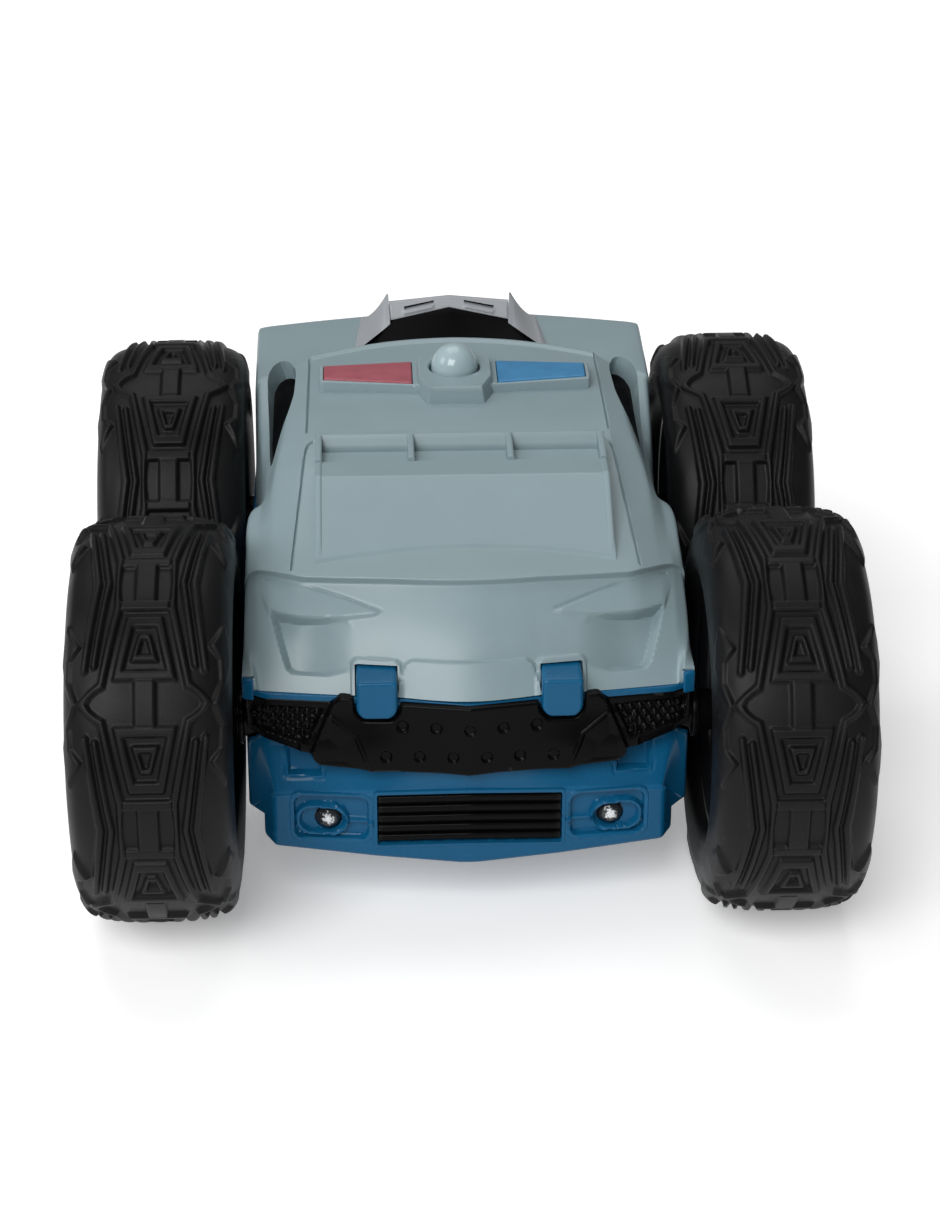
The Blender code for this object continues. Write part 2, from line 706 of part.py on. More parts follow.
def make_side_windows():
    """A strip of dark glass under each slot, its top a fixed depth below the shell's outside."""
    for side, name in ((-1, "side_window_left"), (1, "side_window_right")):
        quads = []
        for station in GLASS_STATIONS:
            y = along(station)
            (xa, za), (xb, zb) = [(across(x), roof(across(x), y)) for x in GLASS_X]
            down = Vector((zb - za, xa - xb)).normalized()
            near = down * GLASS_DEPTH
            far = down * (GLASS_DEPTH + GLASS_THICK)
            quads.append([
                (side * (xa + near.x), y, za + near.y),
                (side * (xb + near.x), y, zb + near.y),
                (side * (xb + far.x), y, zb + far.y),
                (side * (xa + far.x), y, za + far.y),
            ])
        solid(name, slab(quads), "black_plastic")


def make_lower_shell():
    """The tub, the deeper pan under it and the front block, hollow, with the two bumper clips."""
    tub = placed(TUB_NOSE), placed(TUB_TAIL)
    pan = placed(PAN_NOSE), placed(PAN_TAIL)
    floor_top = TUB_LOW + WALL
    shell = solid("lower_shell", prism(plan_outline(*tub), "z", TUB_LOW, TUB_TOP), "shell_blue")
    join(shell, prism(plan_outline(*pan), "z", PAN_LOW, floor_top))
    block_back = [(0.0, BLOCK_BACK_Y), (pan[0][-1][0], BLOCK_BACK_Y)]
    join(shell, prism(plan_outline(pan[0], block_back), "z", PAN_LOW, BLOCK_TOP))
    cut(shell, prism(plan_outline(*tub, WALL), "z", floor_top, TUB_TOP + MM))
    cut(shell, prism(plan_outline(*pan, WALL), "z", PAN_LOW + WALL, BLOCK_TOP - WALL))
    cut(shell, box(-TUB_FRONT_HALF, TUB_FRONT_HALF, AHEAD_Y, BEHIND_NOSE_Y, TUB_FRONT_TOP, TUB_TOP + MM))
    for side in (-1, 1):
        clip = side_placed(HOOK)
        join(shell, prism(clip, "x", side * CLIP_X - CLIP_HALF, side * CLIP_X + CLIP_HALF))
        cut(shell, rod("y", (side * LAMP_X, LAMP_Z), LAMP_RADIUS + GAP, AHEAD_Y, BEHIND_NOSE_Y, 16))
        rib_x = DOOR_HALF_X + DOOR_RIB_GAP
        rib = box(rib_x, rib_x + DOOR_RIB_THICK, -DOOR_RIB_HALF_Y, DOOR_RIB_HALF_Y,
                  PAN_LOW + WALL / 2, DOOR_RIB_HIGH)
        join(shell, mirrored(rib, side))
        for end in (-1, 1):
            at = (end * WHEELBASE / 2, AXLE_Z)
            bore = rod("x", at, BUSH_RADIUS + BUSH_GAP, BUSH_INNER_X - MM, BUSH_OUTER_X, 16)
            cut(shell, mirrored(bore, side))
    through = PAN_LOW + 2 * WALL
    below = PAN_LOW - MM
    cut(shell, box(-GRILLE_HALF, GRILLE_HALF, AHEAD_Y, along(-52.0), GRILLE_LOW, GRILLE_HIGH))
    cut(shell, box(-DOOR_HALF_X, DOOR_HALF_X, -DOOR_HALF_Y, DOOR_HALF_Y, below, through))
    slot = KNOB_HALF + SWITCH_TRAVEL / 2 + GAP
    cut(shell, centred_box(0.0, SWITCH_Y, slot, KNOB_HALF_Y + GAP, below, through))
    boss_top = PAN_LOW + SCREW_LENGTH + BOSS_WALL
    join(shell, rod("z", (0, SCREW_Y), BOSS_RADIUS, PAN_LOW + WALL / 2, boss_top))
    cut(shell, rod("z", (0, SCREW_Y), BOSS_RADIUS - BOSS_WALL, below, boss_top - MM))
    recess = TONGUE_HALF + GAP
    cut(shell, box(-recess, recess, DOOR_HALF_Y - MM, DOOR_HALF_Y + TONGUE_LENGTH + GAP,
                   below, PAN_LOW + TONGUE_THICK + GAP))


def make_front_bumper():
    """A slab through stations across the car; the middle plate stands proud of the two wings."""
    def station(side, x_top, z_top, x_low, z_low, proud):
        quad = []
        for x, z, out in ((x_top, z_top, proud), (x_low, z_low, proud), (x_low, z_low, 0), (x_top, z_top, 0)):
            seat = wall_y(across(x), TUB_NOSE) - GAP
            quad.append((side * across(x), seat - out * MM, above(z)))
        return quad

    stations = [station(-1, *s) for s in reversed(BUMPER_STATIONS[1:])]
    stations += [station(1, *s) for s in BUMPER_STATIONS]
    bumper = solid("front_bumper", slab(stations), "black_plastic")
    notch = CLIP_HALF + GAP
    for side in (-1, 1):
        x = side * CLIP_X
        cut(bumper, box(x - notch, x + notch, AHEAD_Y, BEHIND_NOSE_Y, CLIP_NOTCH_LOW, CLIP_TOP))


def make_rear_bumper():
    left = [(-x, high, low) for x, high, low in reversed(REAR_BUMPER_STATIONS[1:])]
    stations = []
    for x, high, low in left + REAR_BUMPER_STATIONS:
        seat = wall_y(across(x), TUB_TAIL) + GAP
        out = seat + REAR_BUMPER_THICK
        stations.append([(across(x), seat, above(high)), (across(x), seat, above(low)),
                         (across(x), out, above(low)), (across(x), out, above(high))])
    solid("rear_bumper", slab(stations), "black_plastic")


def make_scoop():
    """A wedge that rests on the bonnet, with a row of bays sunk into its top."""
    xs = [share * SCOOP_HALF for share in SCOOP_SHARES]
    lower = [[(x, SCOOP_FRONT_Y, on_roof(x, SCOOP_FRONT_Y)) for x in xs]]
    upper = [[(x, y, z + SCOOP_FRONT_EDGE) for x, y, z in lower[0]]]
    for y, top in SCOOP_RIDGES:
        lower.append([(x, y, on_roof(x, y)) for x in xs])
        upper.append([(x, y, top) for x in xs])
    width = len(xs)
    depth = len(lower)
    verts = [p for row in lower + upper for p in row]
    base = width * depth
    faces = []
    for r in range(depth - 1):
        for c in range(width - 1):
            a = r * width + c
            faces.append([a, a + 1, a + width + 1, a + width])
            faces.append([base + a, base + a + 1, base + a + width + 1, base + a + width])
    rim = list(range(width)) + [r * width + width - 1 for r in range(1, depth)]
    rim += [(depth - 1) * width + c for c in range(width - 2, -1, -1)]
    rim += [r * width for r in range(depth - 2, 0, -1)]
    for a, b in zip(rim, rim[1:] + rim[:1]):
        faces.append([a, b, base + b, base + a])
    scoop = solid("hood_scoop", (verts, faces), "body_grey")
    inner = SCOOP_HALF - SCOOP_WALL
    bay = (2 * inner - (SCOOP_BAYS - 1) * SCOOP_WALL) / SCOOP_BAYS
    for i in range(SCOOP_BAYS):
        left = -inner + i * (bay + SCOOP_WALL)
        cut(scoop, box(left, left + bay, SCOOP_BAY_FRONT_Y, SCOOP_BACK_Y - SCOOP_BACK_WALL,
                       SCOOP_BAY_FLOOR, SCOOP_TOP + MM))


def arm_outline(side, inner, outer, inset):
    """One arm of the light bar from above."""
    (root_front, root_back) = BAR_ARM_ROOT
    (tip_front, tip_back) = BAR_ARM_TIP
    return [(side * inner, root_front + inset), (side * inner, root_back - inset),
            (side * outer, tip_back - inset), (side * outer, tip_front + inset)]


def make_light_bar():
    """A pod with the button's hole and two arms, each with a lens let into its top."""
    back = 2 * BUTTON_Y - BAR_FRONT_Y
    corner = BAR_POD_CORNER
    right = [(BAR_POD_NOSE, BAR_FRONT_Y), (BAR_POD_HALF, BAR_FRONT_Y + corner),
             (BAR_POD_HALF, back - corner), (BAR_POD_NOSE, back)]
    pod = right + [(-x, y) for x, y in reversed(right)]
    bar = solid("light_bar", prism(pod, "z", on_roof, BAR_POD_TOP), "body_grey")
    seat_low = BAR_ARM_TOP - LENS_THICK
    for side, skin, name in ((-1, "lamp_red", "red_lamp"), (1, "lamp_blue", "blue_lamp")):
        join(bar, prism(arm_outline(side, BAR_ARM_START, BAR_ARM_END, 0.0), "z", on_roof, BAR_ARM_TOP))
        seat = arm_outline(side, LENS_START, BAR_ARM_END - LENS_RIM, LENS_RIM)
        cut(bar, prism(seat, "z", seat_low, BAR_ARM_TOP + MM))
        lens = arm_outline(side, LENS_START + GAP, BAR_ARM_END - LENS_RIM - GAP, LENS_RIM + GAP)
        solid(name, prism(lens, "z", seat_low + GAP, BAR_ARM_TOP + GAP), skin)
    cut(bar, rod("z", (0, BUTTON_Y), BUTTON_RADIUS + BUTTON_GAP, above(76.0), above(84.0), 24))


def make_button():
    """The domed button on its stem, and the contact under it that the stem presses."""
    mover = pivot("beacon_button_axis", (0, BUTTON_Y, BAR_POD_TOP))
    floor = on_roof(0, BUTTON_Y) + BUTTON_TRAVEL
    profile = [(STEM_LOW, 0), (STEM_LOW, STEM_RADIUS), (floor, STEM_RADIUS), (floor, BUTTON_RADIUS)]
    steps = 5
    for i in range(steps):
        angle = math.pi / 2 * i / steps
        height = BAR_POD_TOP + BUTTON_RADIUS * math.sin(angle)
        profile.append((height, BUTTON_RADIUS * math.cos(angle)))
    profile.append((BAR_POD_TOP + BUTTON_RADIUS, 0))
    solid("beacon_button", lathe(profile, "z", (0, BUTTON_Y), 20), "light_grey", mover)
    base = centred_box(0, BUTTON_Y, CONTACT_HALF_X, CONTACT_HALF_Y, CONTACT_LOW, CONTACT_LOW + CONTACT_THICK)
    contact = solid("button_switch", base, "board_green")
    key_top = STEM_LOW - BUTTON_TRAVEL - GAP
    join(contact, centred_box(0, BUTTON_Y, CONTACT_KEY_HALF, CONTACT_KEY_HALF,
                              CONTACT_LOW + CONTACT_THICK / 2, key_top))


def make_rear_window():
    """A black panel on the deck under the wing."""
    right = [(x * MM, along(y)) for x, y in REAR_WINDOW]
    outline = right + [(-x, y) for x, y in reversed(right)]
    panel = prism(outline, "z", on_roof, lambda x, y: on_roof(x, y) + REAR_WINDOW_THICK)
    solid("rear_window", panel, "black_plastic")


def make_spoiler():
    """A wing with end fins on two legs that run forward and outward down to the deck."""
    front = WING_Y - WING_CHORD / 2
    back = WING_Y + WING_CHORD / 2
    stations = []
    for x, low, high in WING_STATIONS:
        stations.append([(x * MM, front, above(low)), (x * MM, back, above(high) - WING_THICK),
                         (x * MM, back, above(high)), (x * MM, front, above(low) + WING_THICK)])
    spoiler = solid("rear_spoiler", slab(stations), "light_grey")
    foot = on_roof(LEG_FOOT[0][0] * MM, along(LEG_FOOT[0][1]))
    leg = slab([
        [(LEG_TOP_X, along(y), above(z)) for y, z in LEG_TOP],
        [(x * MM, along(y), foot + rise * MM) for x, y, rise in LEG_FOOT],
    ])
    for side in (-1, 1):
        join(spoiler, mirrored(prism(side_placed(FIN), "x", *FIN_X), side))
        join(spoiler, mirrored(leg, side))


def make_front_lamps():
    """Round lamps with a flange behind the wall and a domed end in front of it."""
    wall = wall_y(LAMP_X, PAN_NOSE)
    seat = wall + WALL + LAMP_SEAT
    flange = LAMP_RADIUS + LAMP_FLANGE
    back = seat + LAMP_FLANGE_THICK
    front = wall - LAMP_PROUD
    profile = [(back, 0), (back, flange), (seat, flange), (seat, LAMP_RADIUS), (front, LAMP_RADIUS)]
    steps = 4
    for i in range(1, steps):
        angle = math.pi / 2 * i / steps
        profile.append((front - LAMP_RADIUS * math.sin(angle), LAMP_RADIUS * math.cos(angle)))
    profile.append((front - LAMP_RADIUS, 0))
    for side, name in ((-1, "headlamp_left"), (1, "headlamp_right")):
        solid(name, lathe(profile, "y", (side * LAMP_X, LAMP_Z), 16), "lamp_clear")


def make_grille():
    """A back plate with bars that follow the nose."""
    half = GRILLE_HALF - GAP
    low = GRILLE_LOW + GAP
    high = GRILLE_HIGH - GAP

    def strip(depths, z0, z1):
        stations = []
        for x in (-half, 0.0, half):
            front = wall_y(x, PAN_NOSE) + depths[0]
            back = wall_y(x, PAN_NOSE) + depths[1]
            stations.append([(x, front, z0), (x, back, z0), (x, back, z1), (x, front, z1)])
        return slab(stations)

    grille = solid("grille_insert", strip(GRILLE_PLATE, low, high), "black_plastic")
    pitch = (high - low) / GRILLE_BARS
    bar = GRILLE_BAR_SHARE * pitch / 2
    for i in range(GRILLE_BARS):
        z = low + (i + 0.5) * pitch
        join(grille, strip(GRILLE_BAR, z - bar, z + bar))


def make_battery_door():
    """The door swings on two tabs at its front edge; its screw stays in the tongue at the back."""
    x = DOOR_HALF_X - GAP
    y = DOOR_HALF_Y - GAP
    top = PAN_LOW + WALL
    hinge = pivot("battery_door_axis", (0, -y, PAN_LOW))
    door = solid("battery_door", box(-x, x, -y, y, PAN_LOW, top), "shell_blue", hinge)
    tongue_end = DOOR_HALF_Y + TONGUE_LENGTH
    join(door, box(-TONGUE_HALF, TONGUE_HALF, y - MM, tongue_end, PAN_LOW, PAN_LOW + TONGUE_THICK))
    for side in (-1, 1):
        tab_x = side * TAB_X
        tab_low = top + GAP
        riser = box(tab_x - TAB_HALF, tab_x + TAB_HALF, -y, -y + TAB_THICK, top - MM / 2, tab_low + TAB_THICK)
        join(door, riser)
        tab = box(tab_x - TAB_HALF, tab_x + TAB_HALF, -y - TAB_REACH, -y + TAB_THICK / 2,
                  tab_low, tab_low + TAB_THICK)
        join(door, tab)
    cut(door, rod("z", (0, SCREW_Y), SCREW_RADIUS + GAP, PAN_LOW - MM, PAN_LOW + MM))
    under = PAN_LOW - GAP
    head = under - SCREW_HEAD_HIGH
    tip = PAN_LOW + SCREW_LENGTH
    profile = [(head, 0), (head, SCREW_HEAD_RADIUS - GAP), (under, SCREW_HEAD_RADIUS), (under, SCREW_RADIUS),
               (tip - SCREW_RADIUS / 2, SCREW_RADIUS), (tip, 0)]
    screw = solid("battery_door_screw", lathe(profile, "z", (0, SCREW_Y), 12), "steel", hinge)
    for half_x, half_y in ((SCREW_SLOT_HALF, GAP), (GAP, SCREW_SLOT_HALF)):
        cut(screw, centred_box(0, SCREW_Y, half_x, half_y, head - MM, head + SCREW_HEAD_HIGH / 2))


def make_battery():
    """A pack of round cells in a wrap, lying on the door."""
    high = AXLE_Z - MOTOR_FLAT - BATTERY_TO_MOTOR
    radius = (high - PAN_LOW - WALL - BATTERY_TO_DOOR) / 2
    outline = []
    steps = 6
    for i in range(steps + 1):
        angle = math.pi * (i / steps - 0.5)
        outline.append((BATTERY_HALF_X - radius + radius * math.cos(angle),
                        high - radius + radius * math.sin(angle)))
    outline += [(-u, v) for u, v in reversed(outline)]
    solid("battery_pack", prism(outline, "y", -BATTERY_HALF_Y, BATTERY_HALF_Y), "battery_wrap")


def make_switch():
    """The slide switch inside the pan, and its knob in the slot, at the off end."""
    x = -SWITCH_TRAVEL / 2
    mover = pivot("power_switch_axis", (x, SWITCH_Y, PAN_LOW))
    inside = PAN_LOW + WALL + GAP
    slide_top = inside + KNOB_SLIDE_THICK
    stick = centred_box(x, SWITCH_Y, KNOB_HALF, KNOB_HALF_Y,
                        PAN_LOW - KNOB_PROUD, inside + KNOB_SLIDE_THICK / 2)
    knob = solid("power_switch_knob", stick, "black_plastic", mover)
    join(knob, centred_box(x, SWITCH_Y, KNOB_SLIDE_HALF, KNOB_SLIDE_HALF_Y, inside, slide_top))
    low = slide_top + GAP
    case = centred_box(0, SWITCH_Y, SWITCH_HALF_X, SWITCH_HALF_Y, low, low + SWITCH_HIGH)
    body = solid("power_switch", case, "steel")
    for side in (-1, 1):
        foot_x = side * (SWITCH_HALF_X - SWITCH_FOOT / 2)
        join(body, centred_box(foot_x, SWITCH_Y, SWITCH_FOOT / 2, SWITCH_HALF_Y, inside, low + MM))


def make_board():
    """The circuit board with its larger components."""
    top = BOARD_LOW + BOARD_THICK
    base = box(-BOARD_HALF_X, BOARD_HALF_X, *BOARD_Y, BOARD_LOW, top)
    board = solid("circuit_board", base, "board_green")
    for x, y, half_x, half_y, high in COMPONENTS:
        join(board, centred_box(x * MM, y * MM, half_x * MM, half_y * MM, top - GAP, top + high * MM))


def make_gearbox(label, side, centre, motor_at):
    """The side plate with the stud, the axle bosses and the ledge that carries the circuit board."""
    low = PAN_LOW + WALL + GAP
    top = BOARD_LOW - GAP
    outline = [(along(y), z * MM) for y, z in PLATE_FRONT] + [(along(y), low) for y in PLATE_LOW_Y]
    outline += [(along(y), z * MM) for y, z in PLATE_BACK] + [(along(y), top) for y in PLATE_TOP_Y]
    outline += side_placed(PLATE_SLOPE)
    outer = PLATE_X + PLATE_THICK
    plate = solid("gearbox_" + label, mirrored(prism(outline, "x", PLATE_X, outer), side), "black_plastic")
    inside = PLATE_X + PLATE_THICK / 4
    join(plate, mirrored(box(BOARD_LEDGE_X, inside, *BOARD_LEDGE_Y, top - BOARD_LEDGE_THICK, top), side))
    join(plate, mirrored(rod("x", centre, STUD_RADIUS, inside, STUD_END_X), side))
    for end in (-1, 1):
        at = (end * WHEELBASE / 2, AXLE_Z)
        join(plate, mirrored(rod("x", at, PLATE_BOSS_RADIUS, inside, GEAR_X - MM), side))
        bore = rod("x", at, AXLE_RADIUS + SHAFT_GAP, AXLE_INNER_X - GAP, GEAR_X + MM)
        cut(plate, mirrored(bore, side))
    cut(plate, mirrored(rod("x", motor_at, MOTOR_BOSS_HOLE, PLATE_X - MM, outer + MM), side))


def make_motor(label, side, motor_at):
    """A flat-sided can whose boss sits in the side plate."""
    face = PLATE_X - GAP
    spread = math.asin(MOTOR_FLAT / MOTOR_RADIUS)
    steps = 6
    can = []
    for base in (0.0, math.pi):
        for i in range(steps + 1):
            angle = base + spread * (2 * i / steps - 1)
            can.append((motor_at[0] + MOTOR_RADIUS * math.cos(angle),
                        motor_at[1] + MOTOR_RADIUS * math.sin(angle)))
    motor = solid("motor_" + label, mirrored(prism(can, "x", face - MOTOR_LENGTH, face), side), "steel")
    boss_end = PLATE_X + PLATE_THICK - GAP
    join(motor, mirrored(rod("x", motor_at, MOTOR_BOSS_RADIUS, face - MM, boss_end), side))
    bore = rod("x", motor_at, SHAFT_RADIUS + SHAFT_GAP, face - SHAFT_DEPTH - GAP, boss_end + MM)
    cut(motor, mirrored(bore, side))


def make_pinion(label, side, motor_at):
    """The motor's pinion, in one with its shaft."""
    spin = pivot("motor_pinion_axis_" + label, (side * FAST_X, *motor_at))
    teeth = gear_outline(PINION_TEETH, FAST_MODULE, motor_at, math.pi / PINION_TEETH)
    wheel = prism(teeth, "x", FAST_X - PINION_EXTRA, FAST_X + FAST_WIDTH + PINION_EXTRA)
    pinion = solid("motor_pinion_" + label, mirrored(wheel, side), "steel", spin)
    shaft = rod("x", motor_at, SHAFT_RADIUS, PLATE_X - GAP - SHAFT_DEPTH, FAST_X)
    join(pinion, mirrored(shaft, side))


def make_reduction_gear(label, side, centre):
    """The double gear on the stud: the pinion drives its large wheel, its small one the axle."""
    spin = pivot("reduction_gear_axis_" + label, (side * FAST_X, *centre))
    end = GEAR_X + GEAR_WIDTH
    teeth = gear_outline(WHEEL_TEETH, FAST_MODULE, centre, math.pi)
    wheel = prism(teeth, "x", FAST_X, FAST_X + FAST_WIDTH)
    pair = solid("reduction_gear_" + label, mirrored(wheel, side), "gear_white", spin)
    join(pair, mirrored(rod("x", centre, GEAR_NECK_RADIUS, FAST_X + MM, GEAR_X + MM, 16), side))
    teeth = gear_outline(CENTRE_TEETH, MODULE, centre, 0.0)
    join(pair, mirrored(prism(teeth, "x", GEAR_X, end), side))
    cut(pair, mirrored(rod("x", centre, STUD_RADIUS + STUD_GAP, FAST_X - MM, end + MM), side))


def make_gear_train(side, label):
    """The gears, motor and side plate of one side. All the shafts lie at axle height."""
    centre_y = WHEELBASE / 2 - MODULE * (AXLE_TEETH + CENTRE_TEETH) / 2
    motor_y = centre_y - FAST_MODULE * (WHEEL_TEETH + PINION_TEETH) / 2
    centre = (centre_y, AXLE_Z)
    motor_at = (motor_y, AXLE_Z)
    make_gearbox(label, side, centre, motor_at)
    make_motor(label, side, motor_at)
    make_pinion(label, side, motor_at)
    make_reduction_gear(label, side, centre)


def make_tyre(label, side, at, spin):
    """A hollow tyre with one flat facet down."""
    height = TYRE_RADIUS - BEAD_RADIUS
    outside = [(inset * MM - TYRE_HALF_WIDTH, BEAD_RADIUS + share * height) for inset, share in TYRE_OUTSIDE]
    inside = [(TYRE_HALF_WIDTH - inset * MM, BEAD_RADIUS + share * height) for inset, share in TYRE_INSIDE]
    ring = outside + [(-u, r) for u, r in reversed(outside)] + inside + [(-u, r) for u, r in reversed(inside)]
    section = [(WHEEL_X + u, r) for u, r in ring]
    flat_down = math.pi / TYRE_SIDES - math.pi / 2
    solid("tyre_" + label, mirrored(lathe(section, "x", at, TYRE_SIDES, flat_down), side), "rubber", spin)


def make_rim(label, side, at, spin):
    """A hub and a spoked disc inside a hoop that carries the tyre."""
    hoop_out = BEAD_RADIUS - GAP
    hoop_in = hoop_out - RIM_WALL
    bore = AXLE_RADIUS + GAP
    bead = TYRE_HALF_WIDTH - BEAD_INSET
    hub_inner = BUSH_OUTER_X + HUB_GAP
    section = [
        (hub_inner, bore), (hub_inner, HUB_RADIUS), (WHEEL_X + DISC_INNER, HUB_RADIUS),
        (WHEEL_X + DISC_INNER, hoop_in), (WHEEL_X - bead, hoop_in), (WHEEL_X - bead, hoop_out),
        (WHEEL_X + bead, hoop_out), (WHEEL_X + bead, hoop_in), (WHEEL_X + DISC_OUTER, hoop_in),
        (WHEEL_X + DISC_OUTER, HUB_RADIUS + MM), (WHEEL_X + HUB_OUTER, HUB_RADIUS),
        (WHEEL_X + HUB_OUTER, bore),
    ]
    rim = solid("rim_" + label, mirrored(lathe(section, "x", at, RIM_SIDES), side), "black_plastic", spin)
    for i in range(SPOKES):
        middle = 2 * math.pi * (i + 0.5) / SPOKES
        window = []
        for radius, spread in SPOKE_WINDOW:
            angle = middle + spread
            window.append((at[0] + radius * MM * math.cos(angle), at[1] + radius * MM * math.sin(angle)))
        cut(rim, mirrored(prism(window, "x", WHEEL_X, WHEEL_X + HUB_OUTER), side))


def make_axle(label, side, end, at, spin):
    """The axle, its cap nut, its gear or collar, and the bush in the tub's wall that it turns in."""
    bore = AXLE_RADIUS + GAP
    shaft = rod("x", at, AXLE_RADIUS, AXLE_INNER_X, AXLE_OUTER_X)
    solid("axle_" + label, mirrored(shaft, side), "steel", spin)
    nut_x = WHEEL_X + HUB_OUTER + GAP
    cap = prism(circle(NUT_RADIUS, 6, at), "x", nut_x, nut_x + NUT_LENGTH)
    nut = solid("wheel_nut_" + label, mirrored(cap, side), "steel", spin)
    cut(nut, mirrored(rod("x", at, bore, nut_x - MM, AXLE_OUTER_X + GAP), side))
    if end > 0:
        gear_end = GEAR_X + GEAR_WIDTH
        teeth = gear_outline(AXLE_TEETH, MODULE, at, math.pi / AXLE_TEETH)
        gear = solid("axle_gear_" + label, mirrored(prism(teeth, "x", GEAR_X, gear_end), side),
                     "gear_white", spin)
        cut(gear, mirrored(rod("x", at, bore, GEAR_X - MM, gear_end + MM), side))
    else:
        collar_end = GEAR_X + COLLAR_WIDTH
        ring = [(GEAR_X, bore), (GEAR_X, COLLAR_RADIUS), (collar_end, COLLAR_RADIUS), (collar_end, bore)]
        solid("axle_collar_" + label, mirrored(lathe(ring, "x", at, 12), side), "steel", spin)
    bush_bore = AXLE_RADIUS + SHAFT_GAP
    tube = [(BUSH_INNER_X, bush_bore), (BUSH_INNER_X, BUSH_RADIUS), (BUSH_OUTER_X, BUSH_RADIUS),
            (BUSH_OUTER_X, bush_bore)]
    solid("axle_bush_" + label, mirrored(lathe(tube, "x", at, 16), side), "black_plastic")


def make_wheel(side, end, label):
    """Tyre, rim, axle, nut and the axle's gear or collar turn together; the bush stays with the tub."""
    at = (end * WHEELBASE / 2, AXLE_Z)
    spin = pivot("wheel_axis_" + label, (side * WHEEL_X, *at))
    make_tyre(label, side, at, spin)
    make_rim(label, side, at, spin)
    make_axle(label, side, end, at, spin)


def main():
    for obj in list(bpy.data.objects):
        bpy.data.objects.remove(obj)
    make_upper_shell()
    make_side_windows()
    make_lower_shell()
    make_front_bumper()
    make_rear_bumper()
    make_scoop()
    make_light_bar()
    make_button()
    make_rear_window()
    make_spoiler()
    make_front_lamps()
    make_grille()
    make_battery_door()
    make_battery()
    make_switch()
    make_board()
    for side, label in ((-1, "left"), (1, "right")):
        make_gear_train(side, label)
        for end, where in ((-1, "front"), (1, "rear")):
            make_wheel(side, end, where + "_" + label)
    for obj in bpy.data.objects:
        if obj.type == "MESH":
            obj.data.shade_smooth()
            obj.data.set_sharp_from_angle(angle=SHARP_ANGLE)


main()
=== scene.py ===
"""Looks of the RC stunt car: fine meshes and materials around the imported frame.

Shapes are worked out in millimetres in the car's frame: nose along -Y, +Z up, origin on the ground under
the middle of the wheelbase. A piece is brought to metres when its mesh is made.
"""

import json
import math

import bmesh
import bpy
import numpy as np
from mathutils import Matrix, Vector
from mathutils.bvhtree import BVHTree
from mathutils.geometry import delaunay_2d_cdt


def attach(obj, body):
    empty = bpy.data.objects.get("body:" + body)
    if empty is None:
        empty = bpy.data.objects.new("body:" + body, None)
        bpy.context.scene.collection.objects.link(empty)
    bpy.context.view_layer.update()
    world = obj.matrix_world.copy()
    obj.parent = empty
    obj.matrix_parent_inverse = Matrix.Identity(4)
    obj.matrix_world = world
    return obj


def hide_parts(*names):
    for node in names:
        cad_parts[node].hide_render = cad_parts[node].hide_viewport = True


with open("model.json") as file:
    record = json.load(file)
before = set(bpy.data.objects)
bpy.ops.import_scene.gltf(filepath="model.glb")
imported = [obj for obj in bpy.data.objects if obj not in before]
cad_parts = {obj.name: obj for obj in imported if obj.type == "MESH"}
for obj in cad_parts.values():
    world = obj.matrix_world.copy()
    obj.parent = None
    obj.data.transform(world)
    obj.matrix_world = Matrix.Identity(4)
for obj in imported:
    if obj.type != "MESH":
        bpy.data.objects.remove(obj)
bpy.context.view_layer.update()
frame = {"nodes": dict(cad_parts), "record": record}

MM = 0.001
SIDES = ((-1, "left"), (1, "right"))
ENDS = ((-1, "front"), (1, "rear"))

# Camera: its place, and the direction from the car back to it
CAMERA_AT = (-19.7, -572.8, 345.5)
CAMERA_BACK = (-0.03036, -0.88261, 0.46917)
CAMERA_LENS = 89.5
CAMERA_SHIFT = 0.0082
CAMERA_SENSOR = 36.0
CAMERA_CLIP = 10.0

# Wheels
WHEEL_X = 62.05
AXLE_Y = 45.0
AXLE_Z = 40.8
TYRE_ROUND = 960
TREAD_REPEATS = 5
TREAD_HIGH = 1.0
LAND_RAMP = 0.32
TREAD_RADIUS = 41.0
TREAD_STEP = 0.27
WALL_STEP = 0.9
TREAD_HALF = 15.6
TREAD_FOOT = 34.0
LAND_FOOT = 33.0
SHOULDER = (13.0, 15.4)
CARCASS = [(12.7, 25.9), (15.3, 26.9), (16.0, 32.0), (15.5, 35.8), (13.2, 38.6), (7.0, 39.8), (0.0, 39.8)]
LINER = [(11.0, 26.0), (12.4, 34.0), (-12.4, 34.0), (-11.0, 26.0)]
WALL_RIBS = (29.2, 31.0)
WALL_RIB_HIGH = 0.3
WALL_RIB_WIDE = 0.35
TYRE_PHASE = {"front_left": 34.0, "front_right": 30.6, "rear_left": 74.5, "rear_right": 71.0}
RIM_HOOP = [(-12.9, 23.7), (-12.9, 25.6), (12.9, 25.6), (12.9, 23.7), (10.8, 22.9), (-10.8, 22.9)]
RIM_HUB = [(-11.9, 2.35), (-11.9, 5.9), (1.0, 6.4), (4.0, 8.2), (6.0, 6.2), (6.0, 2.35)]
SPOKES = 5
SPOKE_TAPER = 0.72
SPOKE_RIB = 0.5
NUT_SIDES = 96
NUT_FOOT = 6.3
BUSH = [(41.0, 2.3), (41.0, 3.85), (45.0, 3.85), (45.0, 5.4), (46.2, 5.4), (46.6, 4.3), (49.7, 4.1),
        (49.7, 2.3)]

# Stations along a spoke: radius, half width, inner face, outer face
SPOKE_STATIONS = [(5.5, 3.3, 1.6, 4.6), (12.0, 2.7, 1.8, 4.4), (19.0, 3.4, 1.8, 4.5), (23.4, 5.2, 1.6, 4.9)]

